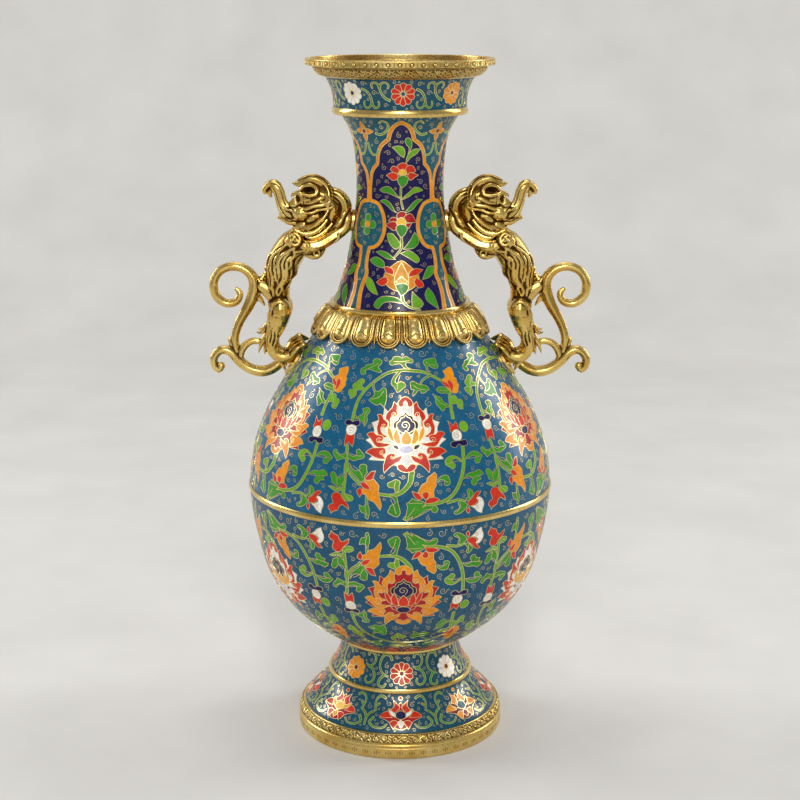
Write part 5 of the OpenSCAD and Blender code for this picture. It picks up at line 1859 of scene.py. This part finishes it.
def beast_body():
    body = Beast(["beast_torso", "beast_forelegs", "beast_hind_legs"])
    # Shoulder, chest, upper arm, haunch and knee
    body.balls((-84.6, 11, 415.6, 8.4, 7.4, 7.6), (-91, 3, 405, 9.4, 9.4, 9), (-73, 11.6, 411.6, 7, 5.6, 5),
               (-97, 10, 358.6, 9.2, 9.4, 11), (-99.2, 9.4, 349, 7, 8.2, 9), (-104.6, 9, 337, 4.4, 5.6, 5.6))
    body.measure()
    # Wavy locks down the back and flank
    torso_line = [(-82, 417, 12), (-91, 404, 13), (-96.5, 392, 12), (-99, 380, 10), (-99.2, 370, 9)]
    for i in range(8):
        body.laid(beside(torso_line, -0.84 + 0.24 * i, 1.1 + 0.45 * (i % 2), phase=0.05 * i,
                         wave=0.2, waves=1.7, start=0.07 * (i % 3), end=1 - 0.1 * (i % 4)), sunk=0.0)
    for x, z, lean in ((-89, 401, 6), (-94, 391, 5), (-97, 380, 5), (-90.6, 385, 6), (-102, 393, 4),
                       (-86, 409, 5)):
        body.laid([(x + lean, z + 6, 0.5), (x + 1, z + 1, 1.3), (x + 1.4, z - 4, 1.2),
                   (x - 1.4, z - 9, 0.5)], sunk=-0.1)
    # Root of the tail
    body.free([(-99, 0, 365, 7.6), (-104, 0, 371, 7.2), (-109, 0, 375, 6.2), (-113, 0, 377.4, 5)])
    # Spine
    for i in range(9):
        x, z = np.array(flowing([(-93, 419), (-103, 406), (-108.6, 392), (-108.6, 378)], 3))[i]
        body.balls((float(x), 0, float(z), 2.0, 2.6, 2.3))
    # Shoulder's swirl, with a flame of hair above the elbow
    body.laid(whorl((-84.4, 416.6), 6.4, 1.25, 150, -1, 1.5, 0.8), sunk=-0.1)
    body.laid([(-91.6, 410, 0.6), (-88, 407.4, 1.3), (-82.4, 407.6, 1.4), (-77, 408.6, 0.7)], sunk=0)
    body.laid([(-76.6, 416.6, 0.6), (-73.4, 413, 1.3), (-73.6, 408.6, 1.1), (-76.4, 405.8, 0.5)], sunk=-0.1)
    # Scroll under the elbow
    body.free([(-77, 10.6, 406, 1.6), (-72.6, 11, 403.6, 2.4), (-67, 11, 404, 3.2),
               (-62.4, 10.8, 407.8, 2.2), (-59.6, 10.4, 412.4, 0.8)])
    body.measure()
    body.laid(whorl((-67.2, 406), 3.3, 1.6, 250, 1, 0.8, 0.5), sunk=-0.2)
    # Muscle lines of the foreleg, and a tuft at its wrist
    body.laid([(-70, 411, 0.5), (-62, 412.8, 0.9), (-54.4, 417.4, 0.9), (-49, 420.6, 0.4)], sunk=0)
    body.laid([(-53, 414.6, 0.8), (-49.6, 418, 1.5), (-48.4, 422.6, 0.8)], sunk=-0.1)
    # Thigh's crescent fold, and creases down the shin
    body.laid([(-105, 351, 0.6), (-104.4, 359, 1.2), (-100.6, 365.6, 1.6), (-95.4, 366.8, 1.5),
               (-91.2, 363, 0.9)], sunk=-0.05)
    for shift in (0, 3.2, 6.2):
        body.laid([(-106.4 + shift, 348 - shift, 0.6), (-105.6 + shift * 0.8, 341 - shift, 1.1),
                   (-107 + shift * 0.7, 333 - shift * 0.6, 1.0), (-104 + shift * 0.6, 325, 0.5)], sunk=0)
    # Wisps behind the knee
    body.free([(-104, 8.4, 348, 1.6), (-109.6, 8.2, 343.6, 2.2), (-113.4, 7.6, 340, 1.6),
               (-117.4, 7, 340.4, 0.5)],
              [(-106, 8.4, 340, 1.8), (-111.4, 8, 334, 2.2), (-114.2, 7.6, 328, 1.4),
               (-115.8, 7.4, 322.6, 0.5)],
              [(-106, 8.6, 332, 1.8), (-110, 8.2, 327, 1.7), (-110.8, 8, 321.8, 0.5)])
    # Fur at the heel
    body.free([(-99, 8.4, 317, 2.0), (-95.6, 8.4, 312.6, 1.8), (-93.8, 8.2, 308.4, 0.6)],
              [(-92.6, 8.4, 318, 2.0), (-88.4, 8.4, 314, 1.7), (-86.8, 8.2, 310.6, 0.6)])
    # Paws with toes and claws
    for spread in (-3.9, -1.3, 1.3, 3.9):
        arch = 1.4 - 0.09 * spread * spread
        fan = 0.55 * spread
        body.free([(-49.4 - fan, 8.4 + spread * 0.7, 427.4, 1.8),
                   (-46.6 - arch - fan, 8 + spread, 432.4 - fan, 2.5),
                   (-44.2 - arch - fan, 7.6 + spread * 1.1, 436 - fan, 1.6),
                   (-43 - fan, 7.4 + spread * 1.15, 439.4 - fan, 2.0),
                   (-40.4 - 0.5 * fan, 7.2 + spread * 1.15, 442.4 - fan, 0.5)])
        body.free([(-91 + fan, 9 + spread * 0.7, 322.6 - fan, 1.8),
                   (-87 - arch * 0.7 + fan, 9 + spread, 328.4 - fan, 2.7),
                   (-83.8 + fan, 9 + spread * 1.1, 331.6 - fan, 1.7),
                   (-80.6 + fan, 9 + spread * 1.15, 333.2 - fan, 2.2),
                   (-76.8 + fan, 9 + spread * 1.15, 332.2 - fan, 0.5)])
    body.cast(0.6, 3, "beast_body_cast")


def beast_tail():
    tail = Beast(["beast_tail", "tail_scroll"])
    tail_line = [(-134, 322.6, 3), (-135.4, 332, 3.3), (-134, 341, 3.5), (-129.6, 351, 3.8),
                 (-123.4, 361.6, 4.6), (-118.6, 374, 5.2), (-119.6, 384, 4.6), (-126, 391, 3.9),
                 (-136, 393.6, 3.7), (-146.6, 389.6, 3.6), (-151.8, 380, 3.6), (-150, 369.4, 3.6),
                 (-142, 363, 3.5), (-133.4, 364.6, 3.3), (-130.6, 371.4, 2.6)]
    scroll_line = [(-149.6, 307.4, 3), (-153, 312, 3.2), (-152.4, 319, 3.4), (-146.4, 324.4, 3.6),
                   (-138.6, 322, 4), (-131, 313.6, 4.2), (-121, 307.4, 4.4), (-110, 306.6, 4.6),
                   (-100.6, 311.6, 4.2)]
    for line in (tail_line, scroll_line):
        soft = flowing(line, 3)
        tail.free([(x, 0.5 * r, z, 0.62 * r) for x, z, r in soft[::2].tolist()])
    # Ball at the scroll's end, leaf tips where the curls part
    tail.balls((-147.4, 0, 310.6, 3.4, 3.6, 3.4))
    tail.free([(-118, 0, 378, 3.6), (-112.6, 0, 383.4, 2.6), (-109.4, 0, 389, 0.8)],
              [(-121, 0, 371, 3.4), (-114.6, 0, 367, 2.6), (-110.4, 0, 361, 0.8)],
              [(-136, 0, 326, 2.6), (-139.6, 0, 331, 1.8), (-140, 0, 335.4, 0.6)])
    tail.measure()
    for line, shift in ((tail_line, 0.86), (tail_line, -0.86), (scroll_line, 0.86), (scroll_line, -0.86)):
        tail.laid(beside(line, shift, 0.5, start=0.03, end=0.97), sunk=0.7)
    tail.cast(0.55, 4, "beast_tail_cast")


beast_head()
beast_body()
beast_tail()

# ---- CAD pieces that stay -----------------------------------------------------------------------

KEPT = {
    ring_material: ["collar_bead", "neck_base_ring", "belt_ring", "foot_joint_ring", "foot_bead",
                    "base_plate"],
    copper_material: ["collar_core", "neck_core", "upper_body_core", "lower_body_core",
                      "body_floor", "neck_joint_sleeve", "waist_joint_sleeve",
                      "foot_joint_sleeve", "foot_core"],
    cast_material: ["handle_studs"] + [
        side + part
        for side in ("left_", "right_")
        for part in ("neck_pad", "shoulder_pad")
    ],
    steel_material: ["stud_washers", "stud_nuts"],
}
for material, names in KEPT.items():
    for node in names:
        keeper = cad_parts[node]
        for holder in keeper.material_slots:
            holder.link = "OBJECT"
            holder.material = material

# ---- studio -------------------------------------------------------------------------------------

CAMERA_PLACE = (0.0, -1.3692, 0.6126)
CAMERA_PITCH = 13.59            # degrees below the level
LENS = 76.5                     # millimetres, on a 36 mm sensor


def stage_floor():
    """A pale floor that curves up into a backdrop behind the vase."""
    width, front, back, top, bend = 6.0, -3.0, 2.2, 3.0, 0.9
    outline = [(front, 0.0), (back - bend, 0.0)]
    for i in range(1, 17):
        angle = math.pi / 2 * i / 16
        outline.append((back - bend + bend * math.sin(angle), bend - bend * math.cos(angle)))
    outline.append((back, top))
    points, faces = [], []
    for y, z in outline:
        points += [(-width / 2, y, z), (width / 2, y, z)]
    for i in range(len(outline) - 1):
        faces.append((2 * i, 2 * i + 1, 2 * i + 3, 2 * i + 2))
    floor = make_mesh("floor", points, faces)
    paint = Paint("pale_floor")
    share = paint.spread(paint.noise(8, 4, 0.5), 0.3, 0.7, 0.0, 1.0)
    feed(paint.inputs["Base Color"], paint.mixed(share, srgb(214, 212, 208), srgb(206, 204, 200)))
    paint.inputs["Roughness"].default_value = 0.8
    floor.data.materials.append(paint.material)


def soft_light(name, place, aim, size, power):
    data = bpy.data.lights.new(name, "AREA")
    data.shape = "RECTANGLE"
    data.size, data.size_y = size
    data.energy = power
    lamp = bpy.data.objects.new(name, data)
    lamp.location = place
    lamp.rotation_euler = (Vector(aim) - Vector(place)).to_track_quat("-Z", "Y").to_euler()
    bpy.context.scene.collection.objects.link(lamp)


stage_floor()
middle_height = (cad_box[0][2] + cad_box[1][2]) / 2
aim = (0, 0, middle_height)
soft_light("key", (0.04, -2.1, 1.9), aim, (0.26, 1.3), 24)
soft_light("front", (0.0, -3.4, 1.7), aim, (3.2, 2.4), 26)
soft_light("left", (-2.4, 0.8, 1.3), aim, (0.7, 1.7), 30)
soft_light("right", (2.4, 0.8, 1.3), aim, (0.7, 1.7), 30)
soft_light("top", (0.0, 0.3, 2.4), aim, (1.6, 1.2), 16)

world = bpy.data.worlds.new("studio")
world.use_nodes = True
world.node_tree.nodes["Background"].inputs["Color"].default_value = (1, 1, 1, 1)
world.node_tree.nodes["Background"].inputs["Strength"].default_value = 0.3
bpy.context.scene.world = world
bpy.context.scene.view_settings.view_transform = "Standard"

lens = bpy.data.cameras.new("camera")
lens.lens = LENS
lens.sensor_width = 36
camera = bpy.data.objects.new("camera", lens)
camera.location = CAMERA_PLACE
camera.rotation_euler = (math.radians(90 - CAMERA_PITCH), 0, 0)
bpy.context.scene.collection.objects.link(camera)
bpy.context.scene.camera = camera
